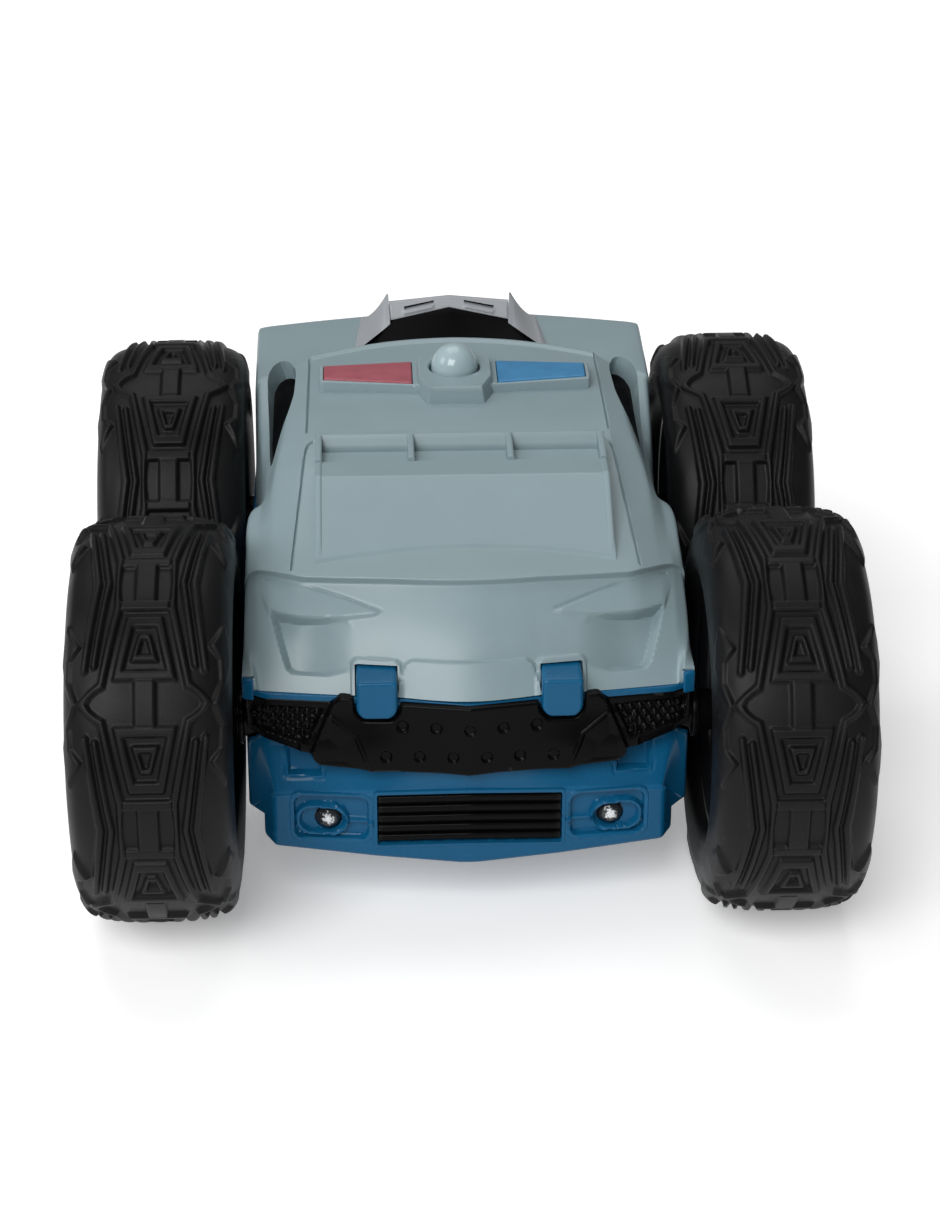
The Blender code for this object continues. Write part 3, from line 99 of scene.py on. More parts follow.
# Rings of a cap nut: distance outward, radius, share of the hexagon
NUT_RINGS = [(0.0, 3.2, 0.0), (0.0, 4.3, 0.0), (0.25, 4.6, 1.0), (2.6, 4.6, 1.0), (3.0, 4.2, 0.4),
             (3.1, 3.4, 0.0), (3.9, 3.1, 0.0), (4.5, 2.0, 0.0), (4.7, 0.3, 0.0)]

# Shell sections: distance along the car at the centre, backward sweep, nose peak,
# then (x, z) of the feature lines from the centre to the lower edge of the side
SECTIONS = [
    (-55.3, 5.0, 2.2,
     [(0, 50.0), (15, 50.0), (33.0, 50.0), (39.3, 50.0), (41.9, 50.0), (42.4, 53.3), (44.9, 53.3)]),
    (-48.9, 5.4, 1.1,
     [(0, 59.6), (15, 59.5), (33.6, 59.0), (39.4, 58.5), (42.1, 58.1), (44.4, 56.8), (44.9, 53.3)]),
    (-41.3, 6.0, 0.0,
     [(0, 67.9), (15, 67.8), (35.2, 67.0), (39.4, 66.1), (42.2, 65.3), (44.5, 63.7), (44.9, 53.3)]),
    (-41.9, 6.0, 0.0,
     [(0, 69.5), (15, 69.4), (35.2, 68.6), (39.2, 67.6), (42.1, 66.7), (44.6, 64.9), (44.9, 53.3)]),
    (-28.0, 5.0, 0.0,
     [(0, 71.2), (15, 71.0), (34.6, 70.4), (39.0, 69.0), (42.0, 67.4), (44.6, 66.4), (44.9, 53.3)]),
    (-9.0, 2.0, 0.0,
     [(0, 74.3), (15, 74.1), (33.4, 73.5), (39.2, 71.6), (41.8, 68.3), (44.5, 67.2), (44.9, 53.3)]),
    (2.0, 0.0, 0.0,
     [(0, 76.3), (15, 76.1), (32.7, 75.5), (38.8, 73.3), (41.0, 68.6), (42.4, 66.4), (43.2, 53.3)]),
    (15.0, 0.0, 0.0,
     [(0, 77.9), (15, 77.7), (32.2, 77.1), (37.4, 75.2), (40.6, 69.5), (42.2, 66.8), (43.2, 53.3)]),
    (35.0, 0.0, 0.0,
     [(0, 78.4), (15, 78.2), (32.0, 77.6), (36.2, 76.1), (40.4, 71.2), (43.2, 70.4), (44.2, 53.3)]),
    (59.9, 0.0, 0.0,
     [(0, 78.1), (15, 77.9), (31.8, 77.2), (35.6, 75.8), (40.6, 74.5), (43.8, 73.9), (44.5, 53.3)]),
    (61.0, 0.0, 0.0,
     [(0, 74.6), (15, 74.6), (31.8, 74.7), (35.8, 74.8), (41.3, 74.8), (44.1, 74.4), (44.5, 53.3)]),
    (83.0, -7.0, 0.0,
     [(0, 75.6), (15, 75.6), (32.0, 75.4), (36.2, 75.3), (41.6, 75.2), (44.3, 74.9), (44.5, 53.3)]),
    (83.01, -7.0, 0.0,
     [(0, 53.3), (15, 53.3), (32.0, 53.3), (36.2, 53.3), (40.3, 53.3), (43.4, 53.3), (44.5, 53.3)]),
]
SHARP_ROWS = {0, 2, 3, 9, 10, 11, 12}
ROW_STEPS = [40, 40, 7, 30, 30, 26, 26, 30, 38, 6, 26, 60]
COLUMN_STEPS = [34, 58, 22, 14, 9, 14]
ROW_BOW = {8: -3.0, 9: -14.5, 10: -14.5}
ROW_CORNER = {1: 1.5, 2: 6.0, 3: 6.0, 4: 2.5}
CORNER_FROM = 32.0
CORNER_TO = 44.5
ROW_CROWD = {1: -1.3, 3: 1.4, 8: -1.6}
COLUMN_CROWD = {1: -1.5, 2: 1.5}
SWEEP_REACH = 44.0
SWEEP_POWER = 1.2
SWEEP_ROUND = 5.0
PEAK_REACH = 15.0
PEAK_ROUND = 6.0
SOFT_ACROSS = 1.6
SOFT_ALONG = 1.1
FLANK_FROM = 43.5
SHELL_WALL = 1.6

# Lower shell
TUB_NOSE = [(0.0, -56.4), (14.0, -53.4), (40.5, -50.3), (44.6, -48.0)]
TUB_TAIL = [(0.0, 80.0), (32.0, 76.5), (40.5, 74.5), (44.6, 70.5)]
PAN_NOSE = [(0.0, -57.3), (18.6, -56.6), (39.3, -54.7), (41.5, -50.4)]
PAN_TAIL = [(0.0, 78.0), (30.0, 74.8), (37.0, 73.0), (41.5, 69.0)]
LOOP_STEPS = [32, 60, 12, 90, 8, 8, 24]
TUB_LOW = 21.5
TUB_TOP = 53.0
TUB_FRONT_TOP = 49.4
PAN_LOW = 12.5
BLOCK_TOP = ([0.0, 12.0, 19.0, 37.0, 43.0], [30.0, 29.8, 29.4, 28.4, 27.5])
BLOCK_SLOPE = 9.0
NOSE_CORNER = (41.6, 44.0)
PAN_EDGE = 1.2
PAN_RINGS = 36
TUB_RINGS = 60
SEAM_EDGE = 0.5
RIM_EDGE = 0.4
RIM_DEPTH = 3.0
BORE = 4.2
BORE_REACH = 0.7
BORE_WALL = 42.0
CLIP_X = 18.3
CLIP_FACE = -57.4

SHARP = math.radians(32)
TREAD_SHARP = math.radians(75)
BEVEL_FROM = 0.35
CORNER_SHARE = 0.45
NODE_EDGE = 0.2
NODE_SHARP = math.radians(40)
RAY_FROM = 120.0
TINY = 1e-9


def smooth(low, high, value):
    """A soft ramp from 0 at low to 1 at high."""
    t = np.clip((value - low) / (high - low), 0.0, 1.0)
    return t * t * (3 - 2 * t)


def inside(distance, ramp):
    """1 where a signed distance is well inside, 0 well outside."""
    return 1.0 - smooth(-ramp, ramp, distance)


def nearest_on(u, v, corners, closed=True):
    """Distance to a line through corners, and the nearest point on it."""
    best = np.full(np.shape(u), np.inf)
    near_u = np.zeros(np.shape(u))
    near_v = np.zeros(np.shape(u))
    ends = corners[1:] + (corners[:1] if closed else [])
    for (au, av), (bu, bv) in zip(corners, ends):
        eu = bu - au
        ev = bv - av
        t = np.clip(((u - au) * eu + (v - av) * ev) / (eu * eu + ev * ev), 0.0, 1.0)
        pu = au + t * eu
        pv = av + t * ev
        d = np.hypot(u - pu, v - pv)
        closer = d < best
        best = np.where(closer, d, best)
        near_u = np.where(closer, pu, near_u)
        near_v = np.where(closer, pv, near_v)
    return best, near_u, near_v


def in_polygon(u, v, corners):
    """A signed distance to a closed outline, negative inside it."""
    within = np.zeros(np.shape(u), bool)
    for (au, av), (bu, bv) in zip(corners, corners[1:] + corners[:1]):
        if av == bv:
            continue
        crosses = (av > v) != (bv > v)
        within ^= crosses & (u < au + (v - av) * (bu - au) / (bv - av))
    return np.where(within, -1.0, 1.0) * nearest_on(u, v, corners)[0]


def from_line(u, v, corners):
    """The distance to an open line."""
    return nearest_on(u, v, corners, closed=False)[0]


def in_plate(u, v, loops):
    """A signed distance to an outline with holes, negative on the plate."""
    distance = in_polygon(u, v, loops[0])
    for hole in loops[1:]:
        distance = np.maximum(distance, -in_polygon(u, v, hole))
    return distance


def in_box(u, v, box, corner):
    """A signed distance to a box with rounded corners; a box is its middle, then its half sizes."""
    qu = np.abs(u - box[0]) - box[2] + corner
    qv = np.abs(v - box[1]) - box[3] + corner
    return np.hypot(np.maximum(qu, 0), np.maximum(qv, 0)) + np.minimum(np.maximum(qu, qv), 0) - corner


def rect(low_u, high_u, low_v, high_v):
    """The corners of a rectangle."""
    return [(low_u, low_v), (high_u, low_v), (high_u, high_v), (low_u, high_v)]


def grown(box, by):
    """A box made larger by the same amount on every side."""
    return box[0], box[1], box[2] + by, box[3] + by


def box_corners(box):
    """The corners of a box."""
    return rect(box[0] - box[2], box[0] + box[2], box[1] - box[3], box[1] + box[3])


def turns(count):
    """Even angles round a circle."""
    return np.linspace(0, 2 * math.pi, count, endpoint=False)


def circle(u, v, radius, count):
    """Points round a circle."""
    return [(u + radius * math.cos(a), v + radius * math.sin(a)) for a in turns(count)]


def soften(points, sigma, axis, wrap=False):
    """Points on a grid, averaged with their neighbours along one axis."""
    data = np.moveaxis(points, axis, 0)
    reach = int(3 * sigma + 0.5)
    offsets = np.arange(-reach, reach + 1)
    weights = np.exp(-0.5 * (offsets / sigma) ** 2)
    weights /= weights.sum()
    if wrap:
        padded = np.concatenate([data[-reach:], data, data[:reach]])
    else:
        first = 2 * data[0] - data[reach:0:-1]
        last = 2 * data[-1] - data[-2:-reach - 2:-1]
        padded = np.concatenate([first, data, last])
    total = sum(w * padded[k:k + len(data)] for k, w in enumerate(weights))
    return np.moveaxis(total, 0, axis)


def grid_faces(rows, columns, wrap=False):
    """Quads over a grid of points, numbered row by row."""
    r = np.arange(rows - 1)[:, None] * columns
    c = np.arange(columns if wrap else columns - 1)[None, :]
    a = r + c
    b = r + (c + 1) % columns
    return np.stack([a, b, b + columns, a + columns], -1).reshape(-1, 4)


def ring_faces(rows, columns):
    """Quads over closed rows of points, with the last row joined to the first."""
    return (grid_faces(rows + 1, columns, wrap=True) % (rows * columns)).tolist()


def capped(rings):
    """Rings of points joined into a tube with both ends closed."""
    rings = np.array(rings, float)
    rows, columns = rings.shape[:2]
    faces = grid_faces(rows, columns, wrap=True).tolist()
    faces.append(list(range(columns)))
    faces.append(list(range((rows - 1) * columns, rows * columns)))
    return rings.reshape(-1, 3), faces


def prism(plan, low, high):
    """An upright prism over a plan outline."""
    return capped([[(x, y, z) for x, y in plan] for z in (low, high)])


def swept(section, path):
    """A closed section of (backward, up) offsets carried along a path."""
    return capped([[(x, y + u, z + v) for u, v in section] for x, y, z in path])


def rounded(corners, radius, steps=4):
    """A closed outline with its corners rounded, as far as its edges allow."""
    points = []
    count = len(corners)
    for i in range(count):
        at = Vector(corners[i])
        before = Vector(corners[i - 1]) - at
        after = Vector(corners[(i + 1) % count]) - at
        reach = min(radius, CORNER_SHARE * before.length, CORNER_SHARE * after.length)
        start = at + before.normalized() * reach
        end = at + after.normalized() * reach
        for k in range(steps + 1):
            t = k / steps
            points.append(tuple((1 - t) ** 2 * start + 2 * t * (1 - t) * at + t * t * end))
    return points


def resampled(corners, step):
    """A closed outline cut into pieces no longer than a step."""
    points = []
    for (au, av), (bu, bv) in zip(corners, corners[1:] + corners[:1]):
        count = max(1, int(math.ceil(math.hypot(bu - au, bv - av) / step)))
        for k in range(count):
            points.append((au + (bu - au) * k / count, av + (bv - av) * k / count))
    return points


def mirror_outline(right):
    """A closed outline from its right half, listed from the centre line to the centre line."""
    return list(right) + [(-u, v) for u, v in reversed(right) if u > 0]


def merged(*shapes):
    """Several (vertices, faces) shapes as one."""
    verts = []
    faces = []
    for shape_verts, shape_faces in shapes:
        start = len(verts)
        verts.extend(np.asarray(shape_verts).tolist())
        faces.extend([i + start for i in face] for face in shape_faces)
    return verts, faces


def mirrored(shape, side):
    """A shape of the right side, moved to the side asked for."""
    verts = np.array(shape[0], float)
    verts[:, 0] *= side
    return verts, shape[1]


def piece(name, shape, body, slot, *nodes, skin=None, sharp=SHARP):
    """A mesh in the car's frame that rides on a body and stands for CAD nodes."""
    verts, faces = shape
    mesh = bpy.data.meshes.new(name)
    mesh.from_pydata((np.asarray(verts, float) * MM).tolist(), [], faces)
    bm = bmesh.new()
    bm.from_mesh(mesh)
    bmesh.ops.recalc_face_normals(bm, faces=bm.faces)
    bm.to_mesh(mesh)
    bm.free()
    mesh.shade_smooth()
    mesh.set_sharp_from_angle(angle=sharp)
    mesh.materials.append(skin or SKINS[slot])
    obj = bpy.data.objects.new(name, mesh)
    bpy.context.scene.collection.objects.link(obj)
    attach(obj, body)
    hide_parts(*nodes)


def lathe(profile, centre, axis, sides):
    """A closed profile of (along, radius) turned about an axis through centre."""
    profile = np.array(profile, float)
    along = np.repeat(profile[:, :1], sides, 1)
    u = profile[:, 1:] * np.cos(turns(sides))
    v = profile[:, 1:] * np.sin(turns(sides))
    order = {"x": (along, u, v), "z": (u, v, along)}[axis]
    verts = np.stack(order, -1).reshape(-1, 3) + np.array(centre)
    return verts, ring_faces(len(profile), sides)


FILL_ROW = 0.87
FILL_ROOM = 0.45
INSET_ROOM = 0.85
PROBE = 0.01
SAME_POINT = 1e-5


def inset_points(loops, inset):
    """The points of an outline and its holes moved onto the plate, where there is room for them."""
    points = []
    for index, loop in enumerate(loops):
        ring = np.array(loop)
        tangent = np.roll(ring, -1, 0) - np.roll(ring, 1, 0)
        normal = np.stack([-tangent[:, 1], tangent[:, 0]], -1)
        normal /= np.maximum(np.linalg.norm(normal, axis=1), TINY)[:, None]
        probe = ring + normal * PROBE
        turned = in_polygon(*probe.T, loop) > 0
        normal[turned != (index > 0)] *= -1
        moved = ring + normal * inset
        clear = in_plate(*moved.T, loops) < -INSET_ROOM * inset
        points += [tuple(p) for p in moved[clear]]
    return points


def patch(outline, holes, step, front, back, insets=()):
    """A plate over an outline: a fine front face, side walls and a back face.

    front and back give points in the car's frame from arrays of the outline's two coordinates. Insets are
    distances from the edges at which the front gets a row of points of its own.
    """
    loops = [resampled(loop, step) for loop in [outline, *holes]]
    points = []
    edges = []
    for loop in loops:
        start = len(points)
        points += loop
        edges += [(start + i, start + (i + 1) % len(loop)) for i in range(len(loop))]
    low = np.min(loops[0], 0)
    high = np.max(loops[0], 0)
    u, v = np.meshgrid(np.arange(low[0], high[0], step), np.arange(low[1], high[1], step * FILL_ROW))
    u = u + (np.arange(len(u)) % 2)[:, None] * step / 2
    u = u.ravel()
    v = v.ravel()
    keep = in_plate(u, v, loops) < -max(insets, default=0.0) - FILL_ROOM * step
    points += list(zip(u[keep].tolist(), v[keep].tolist()))
    for inset in insets:
        points += inset_points(loops, inset)
    flat, _, tris, _, _, _ = delaunay_2d_cdt([Vector(p) for p in points], edges, [], 1, SAME_POINT)
    plan = np.array([(p.x, p.y) for p in flat])
    tris = np.array([t for t in tris if len(t) == 3])
    tris = tris[in_plate(*plan[tris].mean(1).T, loops) < 0]
    count = len(plan)
    ahead = np.stack(front(*plan.T), -1)
    behind = np.stack(back(*plan.T), -1)
    sides = np.concatenate([tris[:, [0, 1]], tris[:, [1, 2]], tris[:, [2, 0]]]).tolist()
    known = {(a, b) for a, b in sides}
    faces = tris.tolist()
    faces += (tris[:, ::-1] + count).tolist()
    faces += [[b, a, a + count, b + count] for a, b in sides if (b, a) not in known]
    return np.concatenate([ahead, behind]), faces


def level(height):
    """A flat back at a height, for a plate seen from above."""
    return lambda u, v: (u, v, np.full(u.shape, height))


def edge_drop(distance, radius):
    """How far a rounded edge falls away at a signed distance inside an outline."""
    near = np.clip(radius + distance, 0.0, radius)
    return radius - np.sqrt(np.maximum(radius * radius - near * near, 0.0))


def bevelled(shape, width, segments=3):
    """A shape with its edges rounded."""
    bm = bmesh.new()
    verts = [bm.verts.new(v) for v in np.asarray(shape[0], float).tolist()]
    for face in shape[1]:
        bm.faces.new([verts[i] for i in face])
    bmesh.ops.recalc_face_normals(bm, faces=bm.faces)
    sharp = [e for e in bm.edges if len(e.link_faces) == 2 and e.calc_face_angle() > BEVEL_FROM]
    bmesh.ops.bevel(bm, geom=sharp, offset=width, segments=segments, profile=0.5, affect="EDGES",
                    clamp_overlap=True)
    bm.verts.index_update()
    result = [tuple(v.co) for v in bm.verts], [[v.index for v in f.verts] for f in bm.faces]
    bm.free()
    return result


def knots(x, line):
    """The place of a nose or tail line at x, by straight lines through its knots."""
    xs = [p[0] for p in line]
    ys = [p[1] for p in line]
    return np.interp(np.abs(x), xs, ys)


def feed(tree, socket, value):
    """Sets a shader socket, or links it to another node's output."""
    if isinstance(value, bpy.types.NodeSocket):
        tree.links.new(value, socket)
    else:
        socket.default_value = value


def new_node(tree, kind, **inputs):
    """A shader node with its sockets set or linked by name."""
    node = tree.nodes.new(kind)
    for socket, value in inputs.items():
        feed(tree, node.inputs[socket.replace("_", " ")], value)
    return node


def maths(tree, kind, operation, *values):
    """A maths node with its sockets set or linked in order."""
    node = tree.nodes.new(kind)
    node.operation = operation
    for socket, value in zip(node.inputs, values):
        feed(tree, socket, value)
    return node


def mixed(tree, factor, first, second):
    """The colour between two colours at a factor."""
    node = tree.nodes.new("ShaderNodeMix")
    node.data_type = "RGBA"
    feed(tree, node.inputs["Factor"], factor)
    for socket, value in zip([i for i in node.inputs if i.type == "RGBA"], (first, second)):
        feed(tree, socket, value)
    return next(o for o in node.outputs if o.type == "RGBA")


CLOUD_RANGE = (0.3, 0.7)
WEAR_RANGE = (0.53, 0.64)
RUBBED = (1.5, 0.02)
GRAIN_HIGH = 0.4


def finish(name, colour, roughness, vary=0.05, cloud=70.0, grain=2200.0, bump=0.03, metallic=0.0,
           rough_vary=0.06, wear=0.35, streak=None, **sockets):
    """A procedural material: clouded colour, rubbed edges, uneven gloss and a fine surface grain."""
    mat = bpy.data.materials.new(name)
    mat.use_nodes = True
    tree = mat.node_tree
    shader = tree.nodes["Principled BSDF"]
    where = tree.nodes.new("ShaderNodeTexCoord").outputs["Object"]
    if streak:
        where = new_node(tree, "ShaderNodeMapping", Vector=where, Scale=streak).outputs["Vector"]
    clouds = new_node(tree, "ShaderNodeTexNoise", Vector=where, Scale=cloud, Detail=5.0, Roughness=0.6)
    ramp = new_node(tree, "ShaderNodeValToRGB", Fac=clouds.outputs["Fac"])
    for stop, place, change in zip(ramp.color_ramp.elements, CLOUD_RANGE, (-vary, vary)):
        stop.position = place
        stop.color = [min(c * (1 + change), 1.0) for c in colour] + [1.0]
    edges = tree.nodes.new("ShaderNodeNewGeometry").outputs["Pointiness"]
    worn = new_node(tree, "ShaderNodeMapRange", Value=edges, From_Min=WEAR_RANGE[0], From_Max=WEAR_RANGE[1],
                    To_Min=0.0, To_Max=wear)
    rubbed = [min(c * RUBBED[0] + RUBBED[1], 1.0) for c in colour] + [1.0]
    gloss = new_node(tree, "ShaderNodeMapRange", Value=clouds.outputs["Fac"], From_Min=CLOUD_RANGE[0],
                     From_Max=CLOUD_RANGE[1], To_Min=roughness - rough_vary, To_Max=roughness + rough_vary)
    speck = new_node(tree, "ShaderNodeTexNoise", Vector=where, Scale=grain, Detail=3.0, Roughness=0.55)
    relief = new_node(tree, "ShaderNodeBump", Height=speck.outputs["Fac"], Strength=bump,
                      Distance=GRAIN_HIGH * MM)
    sockets["Base_Color"] = mixed(tree, worn.outputs["Result"], ramp.outputs["Color"], rubbed)
    sockets["Roughness"] = gloss.outputs["Result"]
    sockets["Normal"] = relief.outputs["Normal"]
    sockets["Metallic"] = metallic
    for socket, value in sockets.items():
        feed(tree, shader.inputs[socket.replace("_", " ")], value)
    return mat


SKINS = {
    "body_grey": finish("moulded_grey", (0.228, 0.305, 0.33), 0.34, vary=0.025, bump=0.04,
                        rough_vary=0.05, Specular_IOR_Level=0.4),
    "shell_blue": finish("moulded_blue", (0.0036, 0.09, 0.2), 0.27, vary=0.03, bump=0.04,
                         Specular_IOR_Level=0.2),
    "black_plastic": finish("moulded_black", (0.0021, 0.0021, 0.0025), 0.26, vary=0.15, bump=0.05, wear=0.8,
                            Specular_IOR_Level=0.07),
    "window_black": finish("window_panel", (0.003, 0.003, 0.0035), 0.42, vary=0.15, bump=0.01,
                           Specular_IOR_Level=0.02),
    "rim_black": finish("rim_plastic", (0.008, 0.008, 0.009), 0.3, vary=0.15, bump=0.04,
                        Specular_IOR_Level=0.3),
    "rubber": finish("tyre_rubber", (0.0048, 0.0048, 0.0053), 0.46, vary=0.18, cloud=120.0, bump=0.1,
                     Specular_IOR_Level=0.17),
    "light_grey": finish("pale_plastic", (0.31, 0.325, 0.345), 0.36, vary=0.03, bump=0.04),
    "lamp_red": finish("red_lens", (0.335, 0.075, 0.1), 0.35, vary=0.08, cloud=260.0, bump=0.1),
    "lamp_blue": finish("blue_lens", (0.034, 0.2, 0.4), 0.35, vary=0.08, cloud=260.0, bump=0.1),
    "steel": finish("plain_steel", (0.55, 0.55, 0.56), 0.32, vary=0.08, cloud=300.0, bump=0.08, metallic=1.0,
                    streak=(0.15, 1.0, 1.0)),
    "gear_white": finish("nylon", (0.75, 0.73, 0.66), 0.5, vary=0.03, bump=0.05),
    "board_green": finish("board_lacquer", (0.03, 0.16, 0.06), 0.45, vary=0.2, cloud=320.0, bump=0.05),
    "battery_wrap": finish("shrink_wrap", (0.03, 0.25, 0.12), 0.3, vary=0.06, bump=0.05),
}
# The button's dome: a paler copy of the moulded grey, lightened as painted light so the dome shows the
# brightness it has where lit
DOME_LIGHTENED_GREY = finish("dome_grey_lightened", (0.34, 0.45, 0.48), 0.16, vary=0.02, bump=0.01, rough_vary=0.03)

# Painted highlight of the lower lamps: colour, height of the middle, soft edge and raggedness of a bright
# spot painted into the glass
GLINT_COLOUR = (0.75, 0.78, 0.8, 1.0)
GLINT_RAISE = 0.25
GLINT_EDGE = (2.0, 2.5)
GLINT_RAGGED = 2.6


def lamp_skin():
    """Dark glass with a painted highlight: a bright ragged spot painted in the middle of each lower lamp."""
    mat = finish("lamp_glass", (0.02, 0.022, 0.025), 0.08, vary=0.2, cloud=600.0, bump=0.01, rough_vary=0.03)
    tree = mat.node_tree
    colour = tree.nodes["Principled BSDF"].inputs["Base Color"]
    where = tree.nodes.new("ShaderNodeTexCoord").outputs["Object"]
    middle = (LAMP[0] * MM, 0.0, (LAMP[1] + GLINT_RAISE) * MM)
    both = maths(tree, "ShaderNodeVectorMath", "ABSOLUTE", where)
    offset = maths(tree, "ShaderNodeVectorMath", "SUBTRACT", both.outputs[0], middle)
    flat = maths(tree, "ShaderNodeVectorMath", "MULTIPLY", offset.outputs[0], (1.0, 0.0, 1.0))
    radius = maths(tree, "ShaderNodeVectorMath", "LENGTH", flat.outputs[0]).outputs["Value"]
    sparkle = new_node(tree, "ShaderNodeTexNoise", Vector=where, Scale=1500.0, Detail=2.0)
    ragged = maths(tree, "ShaderNodeMath", "MULTIPLY_ADD", sparkle.outputs["Fac"], GLINT_RAGGED * MM, radius)
    near = new_node(tree, "ShaderNodeMapRange", Value=ragged.outputs[0], From_Min=GLINT_EDGE[0] * MM,
                    From_Max=GLINT_EDGE[1] * MM, To_Min=1.0, To_Max=0.0)
    glass = colour.links[0].from_socket
    # the painted highlight mixed into the glass colour
    feed(tree, colour, mixed(tree, near.outputs["Result"], glass, GLINT_COLOUR))
    return mat


def chaikin(points, rounds):
    """An open line with its corners cut again and again into a smooth curve."""
    line = np.array(points, float)
    for _ in range(rounds):
        near = 0.75 * line[:-1] + 0.25 * line[1:]
        far = 0.25 * line[:-1] + 0.75 * line[1:]
        cut = np.stack([near, far], 1).reshape(-1, 2)
        line = np.concatenate([line[:1], cut, line[-1:]])
    return line


def tyre_section():
    """The carcass from the inner bead over the tread to the outer bead, as (across, radius)."""
    half = chaikin(CARCASS, 5)
    line = np.concatenate([half * (-1, 1), half[-2::-1]])
    length = np.concatenate([[0], np.cumsum(np.linalg.norm(np.diff(line, axis=0), axis=1))])
    tread = length[(np.abs(line[:, 0]) < TREAD_HALF) & (line[:, 1] > TREAD_FOOT)]
    start = tread[0]
    end = tread[-1]
    wall = int(start / WALL_STEP)
    stops = np.concatenate([np.linspace(0, start, wall, endpoint=False),
                            np.linspace(start, end, int((end - start) / TREAD_STEP), endpoint=False),
                            np.linspace(end, length[-1], wall + 1)])
    return np.stack([np.interp(stops, length, line[:, 0]), np.interp(stops, length, line[:, 1])], -1)


def frame_of(t, x, near, far, near_half, far_half):
    """A signed distance to a trapezoid that narrows along the tread."""
    return in_polygon(t, x, [(near, -near_half), (near, near_half), (far, far_half), (far, -far_half)])


def tread_land(t, x):
    """1 on the raised lands of the tread, 0 on the carcass: t runs from one mirror line to the next."""
    x = np.abs(x)
    end = math.pi * TREAD_RADIUS / TREAD_REPEATS + 1.0
    bar = np.maximum(x - 2.0, t - 4.7)
    frame_band = np.maximum(frame_of(t, x, 4.5, 17.6, 5.9, 3.3), -frame_of(t, x, 6.4, 15.3, 4.1, 2.2))
    ring = np.maximum(frame_of(t, x, 8.2, 13.7, 2.5, 1.0), -frame_of(t, x, 9.5, 12.6, 1.2, 0.5))
    cross = np.maximum(np.abs(t - 20.15) - 1.05, x - 4.7)
    stem = np.maximum(x - 2.0, 21.0 - t)
    eye_band = in_polygon(t, x, [
        (-1.0, 10.9), (0, 10.9), (1.2, 10.3), (2.3, 9.1), (3.1, 7.7), (19.1, 4.5), (21.2, 4.7), (end, 5.1),
        (end, 5.6), (20.0, 5.7), (7.0, 8.1), (4.2, 8.6), (3.6, 9.2), (2.4, 10.6), (1.0, 11.9), (0, 12.5),
        (-1.0, 12.5)])
    rib_b = in_polygon(t, x, [(6.9, 9.5), (7.3, 9.05), (end, 6.35), (end, 7.4), (7.4, 9.95)])
    rib_a = in_polygon(t, x, [(6.0, 11.3), (6.5, 10.85), (end, 8.3), (end, 9.7), (6.6, 11.8)])
    barb = in_polygon(t, x, [(-1.0, 12.6), (0, 12.6), (1.5, 13.1), (4.7, 14.1), (9.1, 13.9), (11.7, 12.1),
                             (14.0, 13.3), (17.7, 14.7), (14.0, 15.3), (9.0, 15.6), (4.5, 15.1), (0, 13.6),
                             (-1.0, 13.6)])
    shapes = (bar, frame_band, ring, cross, stem, eye_band, rib_b, rib_a, barb)
    return np.max([inside(shape, LAND_RAMP) for shape in shapes], 0)


def make_tyre(label, side, end):
    """A tyre with its tread raised on the carcass and two fine ribs on each sidewall."""
    section = tyre_section()
    tangent = np.gradient(section, axis=0)
    normal = np.stack([-tangent[:, 1], tangent[:, 0]], -1)
    normal /= np.linalg.norm(normal, axis=1)[:, None]
    normal *= np.sign(normal[len(normal) // 2, 1])
    turn = np.arange(TYRE_ROUND) * (2 * math.pi / TYRE_ROUND)
    angle = turn + math.radians(TYRE_PHASE[label])
    repeat = 2 * math.pi / TREAD_REPEATS
    folded = np.minimum(turn % repeat, repeat - turn % repeat) * TREAD_RADIUS
    t, x = np.meshgrid(folded, section[:, 0])
    high = TREAD_HIGH * tread_land(t, x) * (section[:, 1] > LAND_FOOT)[:, None]
    high *= 1 - 0.5 * smooth(*SHOULDER, np.abs(x))
    for radius in WALL_RIBS:
        high += WALL_RIB_HIGH * np.exp(-((section[:, 1] - radius) / WALL_RIB_WIDE) ** 2)[:, None]
    outside = section[:, None] + normal[:, None] * high[..., None]
    rings = np.concatenate([outside, np.repeat(np.array(LINER)[:, None], TYRE_ROUND, 1)])
    verts = np.stack([side * WHEEL_X + rings[..., 0], end * AXLE_Y - rings[..., 1] * np.cos(angle),
                      AXLE_Z + rings[..., 1] * np.sin(angle)], -1)
    shape = verts.reshape(-1, 3), ring_faces(len(rings), TYRE_ROUND)
    piece("tyre_" + label + "_tread", shape, "wheel_" + label, "rubber", "tyre_" + label, sharp=TREAD_SHARP)


def make_rim(label, side, end):
    """A hoop with a rolled lip, a dished hub and five tapering spokes with a rib along each."""
    at = (0.0, end * AXLE_Y, AXLE_Z)
    shapes = [lathe(rounded(RIM_HOOP, 0.6), at, "x", 120), lathe(rounded(RIM_HUB, 0.5), at, "x", 72)]
    for angle in turns(SPOKES):
        cos = math.cos(angle)
        sin = math.sin(angle)
        rings = []
        for radius, half, low, high in SPOKE_STATIONS:
            flat = SPOKE_TAPER * half
            section = [(low, -half), (high, -flat), (high + SPOKE_RIB, 0.0), (high, flat), (low, half)]
            rings.append([(out, at[1] + radius * cos - wide * sin, at[2] + radius * sin + wide * cos)
                          for out, wide in section])
        shapes.append(bevelled(capped(rings), 0.45, 2))
    verts, faces = merged(*shapes)
    verts = np.array(verts)
    verts[:, 0] = side * (WHEEL_X + verts[:, 0])
    piece("rim_" + label + "_spoked", (verts, faces), "wheel_" + label, "rim_black", "rim_" + label)


